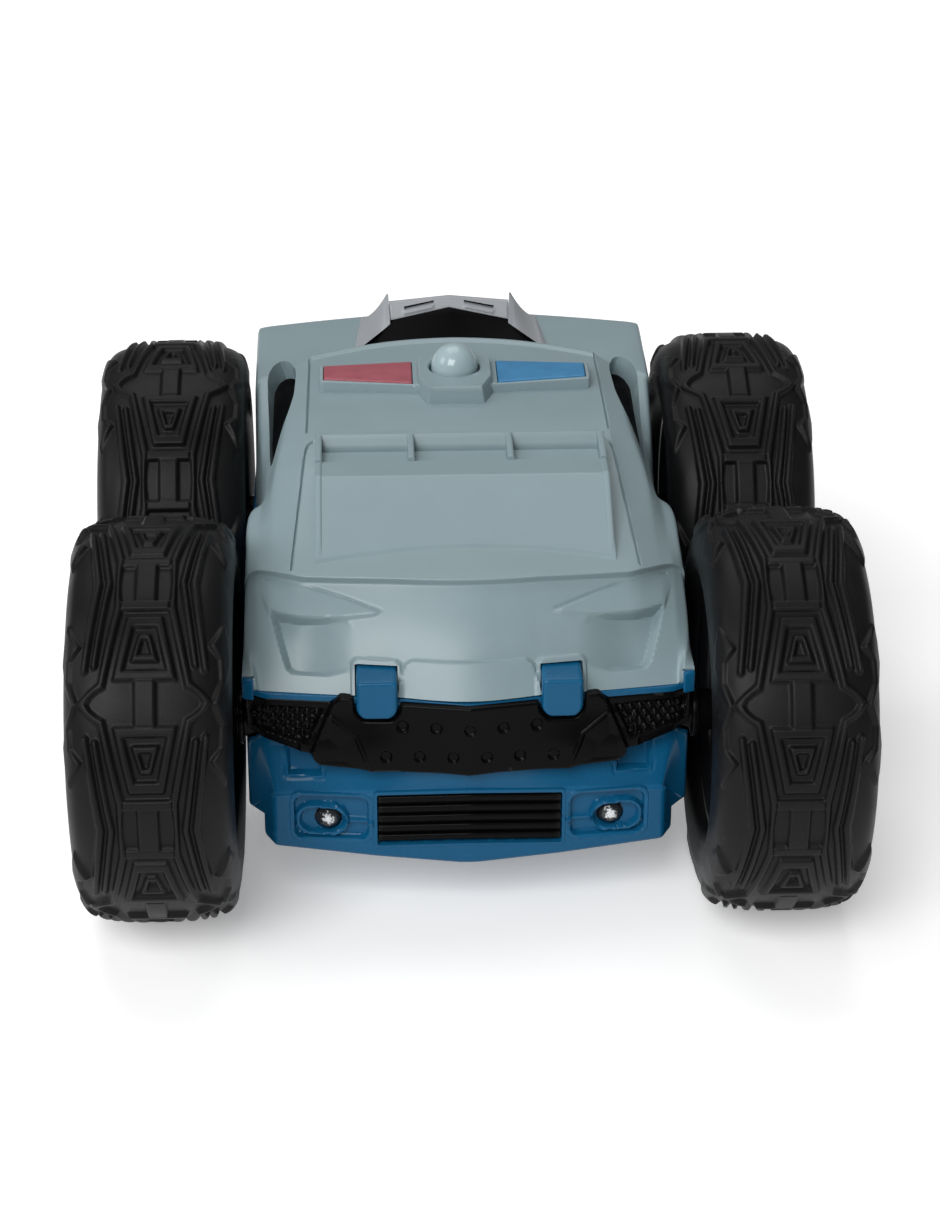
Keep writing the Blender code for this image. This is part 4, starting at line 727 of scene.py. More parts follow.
def make_nut(label, side, end):
    """A cap nut: a hexagon with a turned chamfer and a domed end."""
    angle = turns(NUT_SIDES)
    hexagon = math.cos(math.pi / 6) / np.cos((angle + math.pi / 6) % (math.pi / 3) - math.pi / 6)
    rings = []
    for out, radius, share in NUT_RINGS:
        reach = radius * (1 + share * (hexagon - 1))
        x = np.full(NUT_SIDES, side * (WHEEL_X + NUT_FOOT + out))
        rings.append(np.stack([x, end * AXLE_Y + reach * np.cos(angle), AXLE_Z + reach * np.sin(angle)], -1))
    piece("wheel_nut_" + label + "_cap", capped(rings), "wheel_" + label, "steel", "wheel_nut_" + label)


def make_bush(label, side, end):
    """A flanged bush in the tub's wall."""
    profile = [(side * u, r) for u, r in rounded(BUSH, 0.3)]
    shape = lathe(profile, (0.0, end * AXLE_Y, AXLE_Z), "x", 64)
    piece("axle_bush_" + label + "_flanged", shape, "chassis", "black_plastic", "axle_bush_" + label)


def crowded(share, power):
    """Shares from 0 to 1 crowded towards the start, or towards the end for a negative power."""
    if power < 0:
        return 1 - (1 - share) ** -power
    return share ** power


def sweep_share(x):
    """How much of the backward sweep a place has got at x: none at the centre, all of it at the side."""
    out = np.hypot(x, SWEEP_ROUND) - SWEEP_ROUND
    return (out / (math.hypot(SWEEP_REACH, SWEEP_ROUND) - SWEEP_ROUND)) ** SWEEP_POWER


def shell_rows():
    """The sections with smooth rows between them, one list of numbers for each row."""
    table = []
    for i, (centre, sweep, peak, line) in enumerate(SECTIONS):
        table.append([centre, sweep, peak, ROW_BOW.get(i, 0.0), ROW_CORNER.get(i, 0.0), *sum(line, ())])
    table = np.array(table, float)
    rows = []
    for i, steps in enumerate(ROW_STEPS):
        start = table[i]
        end = table[i + 1]
        span = end[0] - start[0]
        slopes = []
        for k in (i, i + 1):
            if k in SHARP_ROWS:
                slopes.append((end - start) / span)
            else:
                slopes.append((table[k + 1] - table[k - 1]) / (table[k + 1][0] - table[k - 1][0]))
        for k in range(steps):
            t = crowded(k / steps, ROW_CROWD.get(i, 1.0))
            h = 2 * t**3 - 3 * t**2 + 1
            rows.append(h * start + (t**3 - 2 * t**2 + t) * span * slopes[0]
                        + (1 - h) * end + (t**3 - t**2) * span * slopes[1])
    return np.array(rows + [table[-1]])


def between_lines(values):
    """Values on the feature lines with finer columns between them."""
    columns = []
    for c, steps in enumerate(COLUMN_STEPS):
        share = crowded(np.arange(steps) / steps, COLUMN_CROWD.get(c, 1.0))
        columns.append(values[:, c:c + 1] * (1 - share) + values[:, c + 1:c + 2] * share)
    return np.concatenate(columns + [values[:, -1:]], 1)


def shell_base():
    """The upper shell's plain outside as a fine grid: rows along the car, columns from left to right."""
    rows = shell_rows()
    centre, sweep, peak, bow, corner = np.split(rows[:, :5], 5, 1)
    x = between_lines(rows[:, 5::2])
    z = between_lines(rows[:, 6::2])
    y = centre + sweep * sweep_share(x)
    y = y - peak * np.maximum(0.0, 1 - np.hypot(x, PEAK_ROUND) / PEAK_REACH)
    y = y + bow * (x / SWEEP_REACH) ** 2 + corner * smooth(CORNER_FROM, CORNER_TO, x)
    half = np.stack([x, y, z], -1)
    full = np.concatenate([half[:, :0:-1] * (-1, 1, 1), half], 1)
    return soften(soften(full, SOFT_ACROSS, 1), SOFT_ALONG, 0)


def grid_normals(points):
    """Outward normals of a grid whose rows run backward and columns to the right."""
    along = np.gradient(points, axis=0)
    across = np.gradient(points, axis=1)
    normal = np.cross(across, along)
    normal /= np.maximum(np.linalg.norm(normal, axis=-1, keepdims=True), TINY)
    turned = (np.abs(points[..., 0]) > FLANK_FROM) & (normal[..., 0] * points[..., 0] < 0)
    return np.where(turned[..., None], -normal, normal)


# Details of the upper shell: outlines in (x, z) on the nose and tail, in (x, y) on top
HEADLIGHT = [(17.3, 63.6), (24.4, 65.2), (32.2, 66.6), (37.8, 66.2), (41.7, 64.9), (41.4, 63.4),
             (39.6, 61.4), (33.2, 61.4), (28.2, 61.75), (18.6, 63.0)]
HEADLIGHT_HIGH = 0.65
HEADLIGHT_FADE = ((38.8, 42.0), (61.6, 66.4))
HEADLIGHT_GROOVE = [(40.6, 65.3), (37.8, 66.3), (32.2, 66.7), (24.4, 65.3), (17.3, 63.7)]
HEADLIGHT_GROOVE_DEEP = 0.32
INTAKE = [(39.0, 61.4), (35.9, 53.8), (34.9, 53.3), (28.6, 53.2), (21.3, 54.6), (18.0, 58.0), (24.5, 62.0)]
INTAKE_DEEP = 2.4
INTAKE_FADE = (21.5, 34.0)
NOSE_PLATE = [(-20.0, 56.4), (11.3, 56.3), (12.7, 55.4), (14.2, 50.5), (14.2, 40.0), (-20.0, 40.0)]
NOSE_PLATE_HIGH = 0.7
BONNET_GROOVE = [(35.0, -35.0), (34.6, -28.0), (33.4, -9.0), (32.7, 2.0), (32.4, 5.5), (31.9, 7.6),
                 (30.9, 8.9), (29.5, 9.4)]
ROOF_GROOVE = [(32.2, 13.0), (32.0, 35.0), (31.9, 52.0)]
GROOVE_DEEP = 0.7
GROOVE_ABOVE = (66.0, 68.0)
ROOF_LIP_HIGH = 0.5
ROOF_LIP_ABOVE = (76.0, 77.0)
ROOF_LIP_WIDE = (31.5, 33.0)
FLANK_DEEP = 0.7
FLANK_X = (40.8, 42.2)
FLANK_Y = (-4.4, -2.6, 6.0, 26.0)
SIDE_OPENING = [(39.9, 7.5), (38.0, 18.0), (36.3, 26.0), (35.2, 34.0), (34.9, 46.0), (35.4, 52.0),
                (36.6, 55.8), (38.4, 56.2), (40.2, 53.5), (41.3, 48.0), (41.2, 42.0), (40.7, 30.0),
                (40.3, 16.0)]
ARCH = (CLIP_X, 50.0, 5.0, 6.2)
ARCH_HIGH = 0.6
NOTCH = rect(CLIP_X - 4.25, CLIP_X + 4.25, 40.0, 55.2)
NOTCH_BEFORE = -45.0
WINDOW_ABOVE = 66.0
GLASS_DEPTH = (1.7, 2.6)
GLASS_DEEPENS = (22.0, 50.0)
WINDOW_LEAN = (0.3, 0.95)
LEAST_LEAN = 0.3
RIDGE_FOOT = -41.4
TAIL_FROM = (75.0, 75.6)
TAIL_BELOW = (73.6, 74.4)
TAIL_CORNER = 1.4
TAIL_LAMP = (31.5, 66.4, 7.4, 3.0)
TAIL_HIGH = 0.7
TAIL_GROOVE_DEEP = 0.4
TAIL_PANEL = (0.0, 64.2, 15.5, 4.6)


def roof_edge(x):
    """The roof's rear edge from above."""
    return SECTIONS[9][0] + ROW_BOW[9] * (np.abs(x) / SWEEP_REACH) ** 2


def ridge_line(x):
    """The foot of the ridge across the nose from above."""
    return RIDGE_FOOT + SECTIONS[2][1] * sweep_share(x) + ROW_CORNER[2] * smooth(CORNER_FROM, CORNER_TO, x)


def nose_relief(x, z):
    """How far the details of the nose stand out: headlights, intakes, plate and the clips' arches."""
    swell = (1 - smooth(*HEADLIGHT_FADE[0], x)) * (1 - smooth(*HEADLIGHT_FADE[1], z))
    high = HEADLIGHT_HIGH * inside(in_polygon(x, z, HEADLIGHT), 0.35) * swell
    high -= HEADLIGHT_GROOVE_DEEP * (1 - smooth(0.05, 0.36, from_line(x, z, HEADLIGHT_GROOVE)))
    high -= INTAKE_DEEP * smooth(*INTAKE_FADE, x) * inside(in_polygon(x, z, INTAKE), 0.5)
    high += NOSE_PLATE_HIGH * inside(in_polygon(x, z, NOSE_PLATE), 0.25)
    return high + ARCH_HIGH * inside(in_box(x, z, ARCH, 1.6), 0.3)


def tail_relief(x, z):
    """How far the two lamps and the panel of the tail stand out."""
    lamp = in_box(x, z, TAIL_LAMP, TAIL_CORNER)
    panel = in_box(x, z, TAIL_PANEL, TAIL_CORNER)
    groove = np.abs(lamp + 1.3) - 0.35
    return TAIL_HIGH * (inside(lamp, 0.35) - inside(panel, 0.35)) - TAIL_GROOVE_DEEP * inside(groove, 0.2)


def shell_relief(points):
    """How far the upper shell's details stand out of its plain surface."""
    x = np.abs(points[..., 0])
    y = points[..., 1]
    z = points[..., 2]
    foot = ridge_line(x)
    high = nose_relief(x, z) * (1 - smooth(foot - 1.0, foot - 0.1, y))
    high += tail_relief(x, z) * smooth(*TAIL_FROM, y) * (1 - smooth(*TAIL_BELOW, z))
    groove = np.minimum(from_line(x, y, BONNET_GROOVE), from_line(x, y, ROOF_GROOVE))
    high -= GROOVE_DEEP * (1 - smooth(0.08, 0.32, groove)) * smooth(*GROOVE_ABOVE, z)
    lip = (1 - smooth(0.2, 1.5, np.abs(roof_edge(x) - y - 0.5))) * (1 - smooth(*ROOF_LIP_WIDE, x))
    high += ROOF_LIP_HIGH * lip * smooth(*ROOF_LIP_ABOVE, z)
    flank = smooth(*FLANK_X, x) * smooth(*FLANK_Y[:2], y) * (1 - smooth(*FLANK_Y[2:], y))
    return high - FLANK_DEEP * flank


def cut_hole(points, normals, first, second, corners, where):
    """Grid points inside an outline; those beside its edge are moved onto it, along the surface."""
    u = np.abs(points[..., first])
    v = points[..., second]
    hole = (in_polygon(u, v, corners) < 0.0) & where
    beside = np.zeros(hole.shape, bool)
    for row in (-1, 0, 1):
        for column in (-1, 0, 1):
            beside |= np.roll(~hole, (row, column), (0, 1))
    edge = hole & beside
    _, near_u, near_v = nearest_on(u, v, corners)
    shift_u = np.where(edge, near_u - u, 0.0) * np.where(points[..., first] < 0, -1, 1)
    shift_v = np.where(edge, near_v - v, 0.0)
    third = 3 - first - second
    lean = normals[..., third]
    lean = np.where(np.abs(lean) < LEAST_LEAN, LEAST_LEAN * np.where(lean < 0, -1, 1), lean)
    points[..., third] -= (normals[..., first] * shift_u + normals[..., second] * shift_v) / lean
    points[..., first] += shift_u
    points[..., second] += shift_v
    return hole


def open_faces(faces, hole):
    """Faces that don't lie wholly in a hole."""
    return faces[~hole.ravel()[faces].all(1)]


def window_depth(y):
    """How deep the side glass lies: just under the surface in front, deeper at the rear."""
    return GLASS_DEPTH[0] + GLASS_DEPTH[1] * smooth(*GLASS_DEEPENS, y)


def border(faces, count):
    """The edges that belong to one face only, of faces over count points."""
    a = faces.ravel()
    b = np.roll(faces, -1, 1).ravel()
    alone = ~np.isin(a * count + b, b * count + a)
    return a[alone], b[alone]


def side_glass(surface, opening, side):
    """The dark glass at the bottom of a side window's opening."""
    def lowered(extra):
        def at(u, v):
            deep = window_depth(v) + extra
            z = roof_heights(surface, side * u, v) - WINDOW_LEAN[1] * deep
            return side * (u - WINDOW_LEAN[0] * deep), v, z
        return at

    return patch(opening, [], 0.7, lowered(0.2), lowered(1.0))


def make_upper_shell():
    """The body top with its moulded details, window openings and clip notches, and the side glass."""
    base = shell_base()
    normals = grid_normals(base)
    rows, columns = base.shape[:2]
    faces = grid_faces(rows, columns)
    surface = BVHTree.FromPolygons([Vector(p) for p in base.reshape(-1, 3)], faces.tolist())
    opening = resampled(rounded(SIDE_OPENING, 2.0), 0.3)
    in_window = cut_hole(base, normals, 0, 1, opening, base[..., 2] > WINDOW_ABOVE)
    in_notch = cut_hole(base, normals, 0, 2, NOTCH, base[..., 1] < NOTCH_BEFORE)
    points = (base + normals * shell_relief(base)[..., None]).reshape(-1, 3)
    faces = open_faces(faces, in_window | in_notch)
    used = np.unique(faces)
    number = np.zeros(rows * columns, int)
    number[used] = np.arange(len(used))
    lean = np.zeros(base.shape)
    lean[..., 0] = -np.sign(base[..., 0]) * WINDOW_LEAN[0]
    lean[..., 2] = -WINDOW_LEAN[1]
    lean *= (window_depth(base[..., 1]) + 0.5)[..., None]
    inward = np.where(in_window[..., None], lean, -SHELL_WALL * normals).reshape(-1, 3)
    a, b = border(faces, rows * columns)
    ends = np.unique(a)
    under = np.zeros(rows * columns, int)
    under[ends] = len(used) + np.arange(len(ends))
    verts = np.concatenate([points[used], (points + inward)[ends]])
    faces = np.concatenate([number[faces], np.stack([number[b], number[a], under[a], under[b]], -1)])
    piece("upper_shell_moulded", (verts, faces.tolist()), "chassis", "body_grey", "upper_shell")
    for side, label in SIDES:
        glass = side_glass(surface, opening, side)
        piece("side_window_" + label + "_glass", glass, "chassis", "window_black", "side_window_" + label)
    return surface


def half_loop(nose, tail):
    """The right half of a plan outline with the same number of points between matching knots."""
    line = np.array(nose + tail[::-1])
    points = []
    for a, b, steps in zip(line, line[1:], LOOP_STEPS):
        points.extend(a + (b - a) * k / steps for k in range(steps))
    return np.array(points + [line[-1]])


def plan_loop(nose, tail):
    """A whole plan outline, softened at its corners, from the nose round the right side."""
    right = half_loop(nose, tail)
    left = right[-2:0:-1] * (-1, 1)
    return soften(np.concatenate([right, left]), 1.3, 0, wrap=True)


def loop_normals(loop):
    """Outward directions of a plan outline."""
    tangent = np.roll(loop, -1, 0) - np.roll(loop, 1, 0)
    normal = np.stack([tangent[:, 1], -tangent[:, 0]], -1)
    return normal / np.linalg.norm(normal, axis=1)[:, None]


# Details of the lower shell: boxes on its walls; the lamp's place and the radius of its hole
POD = (27.8, 23.25, 8.4, 5.75)
POD_OVAL = (29.7, 22.5, 5.2, 3.5)
POD_BAR = (22.0, 22.3, 2.6, 0.45)
POD_WELL_DEEP = 1.5
POD_OVAL_HIGH = 1.3
POD_BAR_HIGH = 0.8
POD_PROUD = 0.12
POD_CORNER = 2.2
POD_DEPTH = 3.4
POCKET = (33.0, 34.5, 4.0, 3.1)
POCKET_DEPTH = 1.5
SIDE_PANEL = (0.0, 37.5, 26.0, 9.0)
GRILLE = (0.0, 23.1, 18.6, 5.9)
GRILLE_ARCH = (0.5, 0.6)
GRILLE_DEPTH = 3.2
GRILLE_RIM = 0.75
GRILLE_RIM_PROUD = 0.15
GRILLE_PLATE_Y = (1.5, 2.2)
GRILLE_BAR_Y = (0.2, 1.6)
GRILLE_BARS = 5
BAR_SHARE = 0.33
INNER_FACE = 3.0
LAMP = (28.4, 22.6, 2.8)
CHIN_RISE = 3.3
CHIN_X = (2.0, 39.0)
CHIN_Y = (-52.0, -36.0)
DOOR_HOLE = [(15.6, -29.0), (15.6, 29.0), (6.0, 29.0), (6.0, 37.9), (-6.0, 37.9), (-6.0, 29.0),
             (-15.6, 29.0), (-15.6, -29.0)]
SWITCH_HOLE = rect(-4.3, 4.3, -38.8, -35.2)
FLOOR_RIB = rect(16.5, 18.0, -28.0, 28.0)
FLOOR_RIB_Z = (13.3, 26.0)
SCREW_BOSS = rect(13.5, 20.4, 1.8, 3.6)
SCREW_BOSS_Y = 33.5
CLIP_RIGHT = [(0.0, 55.0), (4.05, 55.0), (4.05, 48.2), (2.7, 46.6), (0.0, 46.6)]
CLIP_BACK = -49.5
RIM_SECTION = rect(-1.4, 0.6, 48.4, 49.9)
RIM_CORNER = [(42.7, -52.0), (45.0, -51.2), (45.0, -44.0), (42.7, -44.0)]
RIM_CORNER_Z = (48.4, 52.8)


def lower_rings():
    """The lower shell's wall as rings of points, from the pan's lower edge up over the tub's rim."""
    tub = plan_loop(TUB_NOSE, TUB_TAIL)
    pan = plan_loop(PAN_NOSE, PAN_TAIL)
    tub_out = loop_normals(tub)
    pan_out = loop_normals(pan)
    front = (1 - smooth(*NOSE_CORNER, np.abs(tub[:, 0]))) * (tub[:, 1] < 0)
    seam = TUB_LOW + front * (np.interp(np.abs(pan[:, 0]), *BLOCK_TOP) - TUB_LOW)
    low = PAN_LOW + chin_rise(pan[:, 0], pan[:, 1])
    top = TUB_TOP + front * (TUB_FRONT_TOP - TUB_TOP)
    rings = []
    for angle in np.linspace(0, math.pi / 2, 5):
        inset = pan_out * PAN_EDGE * (1 - math.sin(angle))
        rings.append(np.column_stack([pan - inset, low + PAN_EDGE * (1 - math.cos(angle))]))
    low = low + PAN_EDGE
    u = np.abs(pan[:, 0])
    for share in np.linspace(0, 1, PAN_RINGS)[1:]:
        z = low + (seam - low) * share
        well = in_box(u, z, grown(POD, -0.5), 1.7)
        hole = in_box(u, z - grille_arch(u), grown(GRILLE, -0.1), 0.3)
        sink = np.maximum(POD_DEPTH * inside(well, 0.2), GRILLE_DEPTH * inside(hole, 0.2))
        sink = front * (sink + edge_drop(z - seam, SEAM_EDGE))
        rings.append(np.column_stack([pan - pan_out * sink[:, None], z]))
    ledge = pan - pan_out * SEAM_EDGE * front[:, None]
    for share in np.linspace(0, 1, TUB_RINGS):
        z = seam + (top - seam) * share
        rise = (1 - front * (1 - np.clip((z - seam) / BLOCK_SLOPE, 0.0, 1.0)))[:, None]
        wall = ledge * (1 - rise) + tub * rise
        u = np.abs(wall[:, 0])
        pocket = in_box(u, z, POCKET, 0.6)
        frame_ring = np.abs(pocket + 0.45) - 0.4
        panel = in_box(tub[:, 1], z, SIDE_PANEL, 3.0)
        sink = front * POCKET_DEPTH * (inside(pocket, 0.25) - inside(frame_ring, 0.2))
        sink += np.where(u > NOSE_CORNER[1], FLANK_DEEP * inside(panel, 0.5), 0.0)
        sink += edge_drop(z - top, RIM_EDGE) + edge_drop(seam - z, SEAM_EDGE) * (1 - front)
        rings.append(np.column_stack([wall - tub_out * sink[:, None], z]))
    for depth in (0.0, RIM_DEPTH):
        rings.append(np.column_stack([tub - tub_out * SHELL_WALL, top - depth]))
    return np.array(rings)


def make_lower_shell():
    """The tub on its pan in one surface, with lamp pods, pockets, clips and the openings in its floor."""
    grid = lower_rings()
    x, y, z = np.moveaxis(grid, -1, 0)
    flank = np.abs(x) > BORE_WALL
    bores = np.zeros(flank.shape, bool)
    for end, _ in ENDS:
        ring = circle(end * AXLE_Y, AXLE_Z, BORE, 48)
        distance, near_y, near_z = nearest_on(y, z, ring)
        close = (distance < BORE_REACH) & flank
        y[close] = near_y[close]
        z[close] = near_z[close]
        bores |= flank & (in_polygon(y, z, ring) < 0.05)
    faces = open_faces(grid_faces(*flank.shape, wrap=True), bores).tolist()
    shapes = [(grid.reshape(-1, 3), faces), floor_plate(grid[0][:, :2]), grille_rim(), tub_rim()]
    rib = bevelled(prism(FLOOR_RIB, *FLOOR_RIB_Z), 0.3, 2)
    for shape in (lamp_pod(), clip(), rib):
        shapes += [mirrored(shape, side) for side, _ in SIDES]
    shapes.append(lathe(rounded(SCREW_BOSS, 0.3), (0.0, SCREW_BOSS_Y, 0.0), "z", 48))
    piece("lower_shell_moulded", merged(*shapes), "chassis", "shell_blue", "lower_shell")


def chin_rise(x, y):
    """How far the pan's lower edge rises towards the corners of the nose."""
    return np.interp(np.abs(x), CHIN_X, (0.0, CHIN_RISE)) * (1 - smooth(*CHIN_Y, y))


def grille_arch(x):
    """How far the grille's lines rise in the middle."""
    return GRILLE_ARCH[0] - GRILLE_ARCH[1] * np.abs(x) / GRILLE[2]


def floor_plate(loop):
    """The pan's floor with the openings for the battery door, its tongue and the switch's knob."""
    def face(height):
        return lambda u, v: (u, v, height + chin_rise(u, v))

    outline = [tuple(p) for p in loop]
    return patch(outline, [DOOR_HOLE, SWITCH_HOLE], 2.5, face(PAN_LOW), face(PAN_LOW + SHELL_WALL))


def on_pan(x, depth):
    """A point's distance along the car on the pan's nose, moved backward."""
    return knots(x, PAN_NOSE) + depth


def lamp_pod():
    """The recessed panel round a lower lamp: an oval ring, a short bar and the lamp's hole."""
    outline = rounded(box_corners(POD), POD_CORNER)

    def front(u, v):
        rim = edge_drop(in_box(u, v, POD, POD_CORNER), 0.25)
        well = inside(in_box(u, v, grown(POD, -1.0), 1.8), 0.25)
        oval = inside(np.abs(in_box(u, v, POD_OVAL, 3.4) + 0.35) - 0.5, 0.2)
        bar = inside(in_box(u, v, POD_BAR, 0.3), 0.15)
        sink = rim + POD_WELL_DEEP * well - POD_OVAL_HIGH * oval - POD_BAR_HIGH * bar
        return u, on_pan(u, sink - POD_PROUD), v

    def back(u, v):
        return u, on_pan(u, INNER_FACE), v

    return patch(outline, [circle(*LAMP, 40)], 0.32, front, back, (0.1, 0.25, 0.9, 1.15))


def grille_rim():
    """A thin raised edge round the grille's opening."""
    rim = grown(GRILLE, GRILLE_RIM)
    outline = rounded(box_corners(rim), 1.0)
    hole = rounded(box_corners(GRILLE), 0.5)

    def front(u, v):
        drop = edge_drop(in_box(u, v, rim, 1.0), 0.25)
        return u, on_pan(u, drop - GRILLE_RIM_PROUD), v + grille_arch(u)

    def back(u, v):
        return u, on_pan(u, INNER_FACE), v + grille_arch(u)

    return patch(outline, [hole], 0.6, front, back, (0.1, 0.25))


def clip():
    """A clip that hooks over the bumper: a flat tongue with cut lower corners and a level top."""
    outline = rounded(mirror_outline(CLIP_RIGHT), 0.9)

    def front(u, v):
        return u + CLIP_X, CLIP_FACE + edge_drop(in_polygon(u, v, outline), 0.85), v

    def back(u, v):
        return u + CLIP_X, np.full(u.shape, CLIP_BACK), v

    return patch(outline, [], 0.4, front, back, (0.06, 0.2, 0.42, 0.7, 0.9))


def tub_rim():
    """The tub's rim that shows as a thin line under the upper shell, with a raised corner at each end."""
    half = TUB_NOSE[-1][0]
    path = [(x, knots(x, TUB_NOSE), 0.0) for x in np.linspace(-half, half, 90)]
    shapes = [swept(rounded(RIM_SECTION, 0.3), path)]
    for side, _ in SIDES:
        corner = [(side * x, y) for x, y in RIM_CORNER]
        shapes.append(bevelled(prism(corner, *RIM_CORNER_Z), 0.4, 3))
    return merged(*shapes)


BUMPER_RIGHT = [(0.0, 49.8), (13.8, 49.4), (13.8, 47.6), (15.4, 45.7), (21.2, 45.7), (22.8, 47.6),
                (22.8, 50.2), (25.6, 50.4), (27.2, 48.9), (44.0, 49.0), (44.6, 47.8), (44.4, 42.2),
                (43.4, 41.4), (31.6, 38.0), (30.2, 36.0), (19.6, 35.1), (0.0, 34.4)]
BUMPER_PLATE = [(-1.0, 60.0), (24.0, 60.0), (27.2, 48.8), (31.4, 38.6), (30.4, 30.0), (-1.0, 30.0)]
BUMPER_FACET = [(27.4, 46.2), (22.4, 42.5), (19.7, 35.6), (19.6, 33.0), (34.0, 33.0), (33.0, 44.0)]
BUMPER_MESH = [(29.0, 47.2), (43.2, 47.4), (43.0, 43.0), (32.2, 40.2)]
BUMPER_LEAN = ([0.0, 6.0, 14.0, 20.0, 31.0, 45.0], [0.0, 0.4, 1.7, 2.6, 3.2, 1.8])
DIMPLE_PITCH = 6.64
DIMPLES = [(i * DIMPLE_PITCH, 44.8) for i in range(-2, 3)]
DIMPLES += [((i + 0.5) * DIMPLE_PITCH, 38.5) for i in range(-3, 3)]
DIMPLE_DEEP = 0.55
DIMPLE_EDGE = (0.8, 1.35)
KNURL = (1.95, 2.7)
KNURL_HIGH = 0.6
MESH_DEEP = 0.95
FACET_FALL = 0.3
FACET_EDGE = 0.2
BUMPER_FADE = (37.0, 49.0)
WING_PROUD = 1.3
PLATE_PROUD = 1.3
BUMPER_GAP = 0.25
BUMPER_SKIN = 0.05
REAR_BUMPER = [(0.0, 46.9), (31.0, 46.4), (40.3, 44.8), (40.3, 38.4), (31.0, 36.6), (0.0, 36.1)]
REAR_GROOVES = (39.2, 41.5, 43.8)
REAR_GROOVE = (26.0, 0.45)
REAR_GROOVE_DEEP = 0.6
REAR_PROUD = 2.4


def make_front_bumper():
    """A black plate with facets and dimples between two wings of diamond mesh."""
    outline = rounded(mirror_outline(BUMPER_RIGHT), 0.7, 3)

    def front(u, v):
        x = np.abs(u)
        proud = WING_PROUD + PLATE_PROUD * inside(in_polygon(x, v, BUMPER_PLATE), 0.3)
        facet = in_polygon(x, v, BUMPER_FACET)
        proud -= FACET_FALL * np.clip(-facet, 0.0, 4.0)
        proud += FACET_EDGE * (1 - smooth(0.15, 0.5, np.abs(facet)))
        along = x / KNURL[0]
        up = v / KNURL[1]
        knurl = (np.sin(math.pi * (along + up)) * np.sin(math.pi * (along - up))) ** 2
        proud -= inside(in_polygon(x, v, BUMPER_MESH), 0.2) * (MESH_DEEP - KNURL_HIGH * knurl)
        for du, dv in DIMPLES:
            proud -= DIMPLE_DEEP * (1 - smooth(*DIMPLE_EDGE, np.hypot(u - du, v - dv)))
        proud -= edge_drop(in_polygon(u, v, outline), 0.6)
        proud += np.interp(x, *BUMPER_LEAN) * (1 - smooth(*BUMPER_FADE, v))
        return u, knots(u, TUB_NOSE) - BUMPER_GAP - BUMPER_SKIN - proud, v

    def back(u, v):
        return u, knots(u, TUB_NOSE) - BUMPER_GAP, v

    shape = patch(outline, [], 0.27, front, back, (0.1, 0.25, 0.45, 0.65))
    piece("front_bumper_faceted", shape, "chassis", "black_plastic", "front_bumper")


def make_rear_bumper():
    """A plain black plate across the tail with three shallow grooves."""
    outline = rounded(mirror_outline(REAR_BUMPER), 1.2)

    def front(u, v):
        proud = REAR_PROUD - edge_drop(in_polygon(u, v, outline), 0.8)
        for height in REAR_GROOVES:
            proud -= REAR_GROOVE_DEEP * inside(in_box(u, v, (0.0, height, *REAR_GROOVE), 0.4), 0.2)
        return u, knots(u, TUB_TAIL) + BUMPER_GAP + BUMPER_SKIN + proud, v

    def back(u, v):
        return u, knots(u, TUB_TAIL) + BUMPER_GAP, v

    shape = patch(outline, [], 0.6, front, back, (0.12, 0.3, 0.55, 0.8))
    piece("rear_bumper_ribbed", shape, "chassis", "black_plastic", "rear_bumper")


def lines_with(stops, step, nudge):
    """Grid lines at an even step with a pair of lines close to each side of every stop."""
    edges = sorted(stops)
    values = {stop + offset for stop in edges for offset in (-nudge, nudge)}
    for a, b in zip(edges, edges[1:]):
        count = max(1, int(round((b - a) / step)))
        values.update(np.linspace(a, b, count + 1)[1:-1].tolist())
    return values


def roof_heights(surface, x, y):
    """The heights of the bare upper shell at places."""
    down = Vector((0, 0, -1))
    hits = [surface.ray_cast(Vector((a, b, RAY_FROM)), down) for a, b in zip(x.ravel(), y.ravel())]
    return np.array([hit[0].z for hit in hits]).reshape(x.shape)


SCOOP_HALF = 30.2
SCOOP_WALL = 1.4
SCOOP_BACK = 4.8
SCOOP_DIVIDER = 10.3
SCOOP_NOSE = -30.9
SCOOP_SWEEP = (2.9, 29.0)
SCOOP_START = -34.0
SCOOP_FACE = -14.5
SCOOP_SIDES = -8.0
SCOOP_BAYS = -7.5
SCOOP_SLOT = 0.1
SCOOP_REAR = (1.3, 2.9)
SCOOP_STEPS = [SCOOP_START, SCOOP_FACE, SCOOP_SIDES, SCOOP_BAYS, SCOOP_SLOT, *SCOOP_REAR, SCOOP_BACK]
LIP_Z = 79.5
BAY_Z = 78.1
SLOT_Z = 70.0
RIDGE_Z = (80.2, 81.0)
SIDE_HIGH = 0.25
SIDE_FADE = (-33.0, -29.0)
SCOOP_GRID = 0.6
SCOOP_NUDGE = 0.02
WALL_GRID = 0.14
REAR_GRID = (3.05, 3.2, 3.35, 4.35, 4.5, 4.65)
EDGE_ROOM = 0.03
SKIRT = 0.5


def scoop_front(x):
    """The front edge of the scoop from above."""
    return SCOOP_NOSE - SCOOP_SWEEP[0] * (x / SCOOP_SWEEP[1]) ** 2


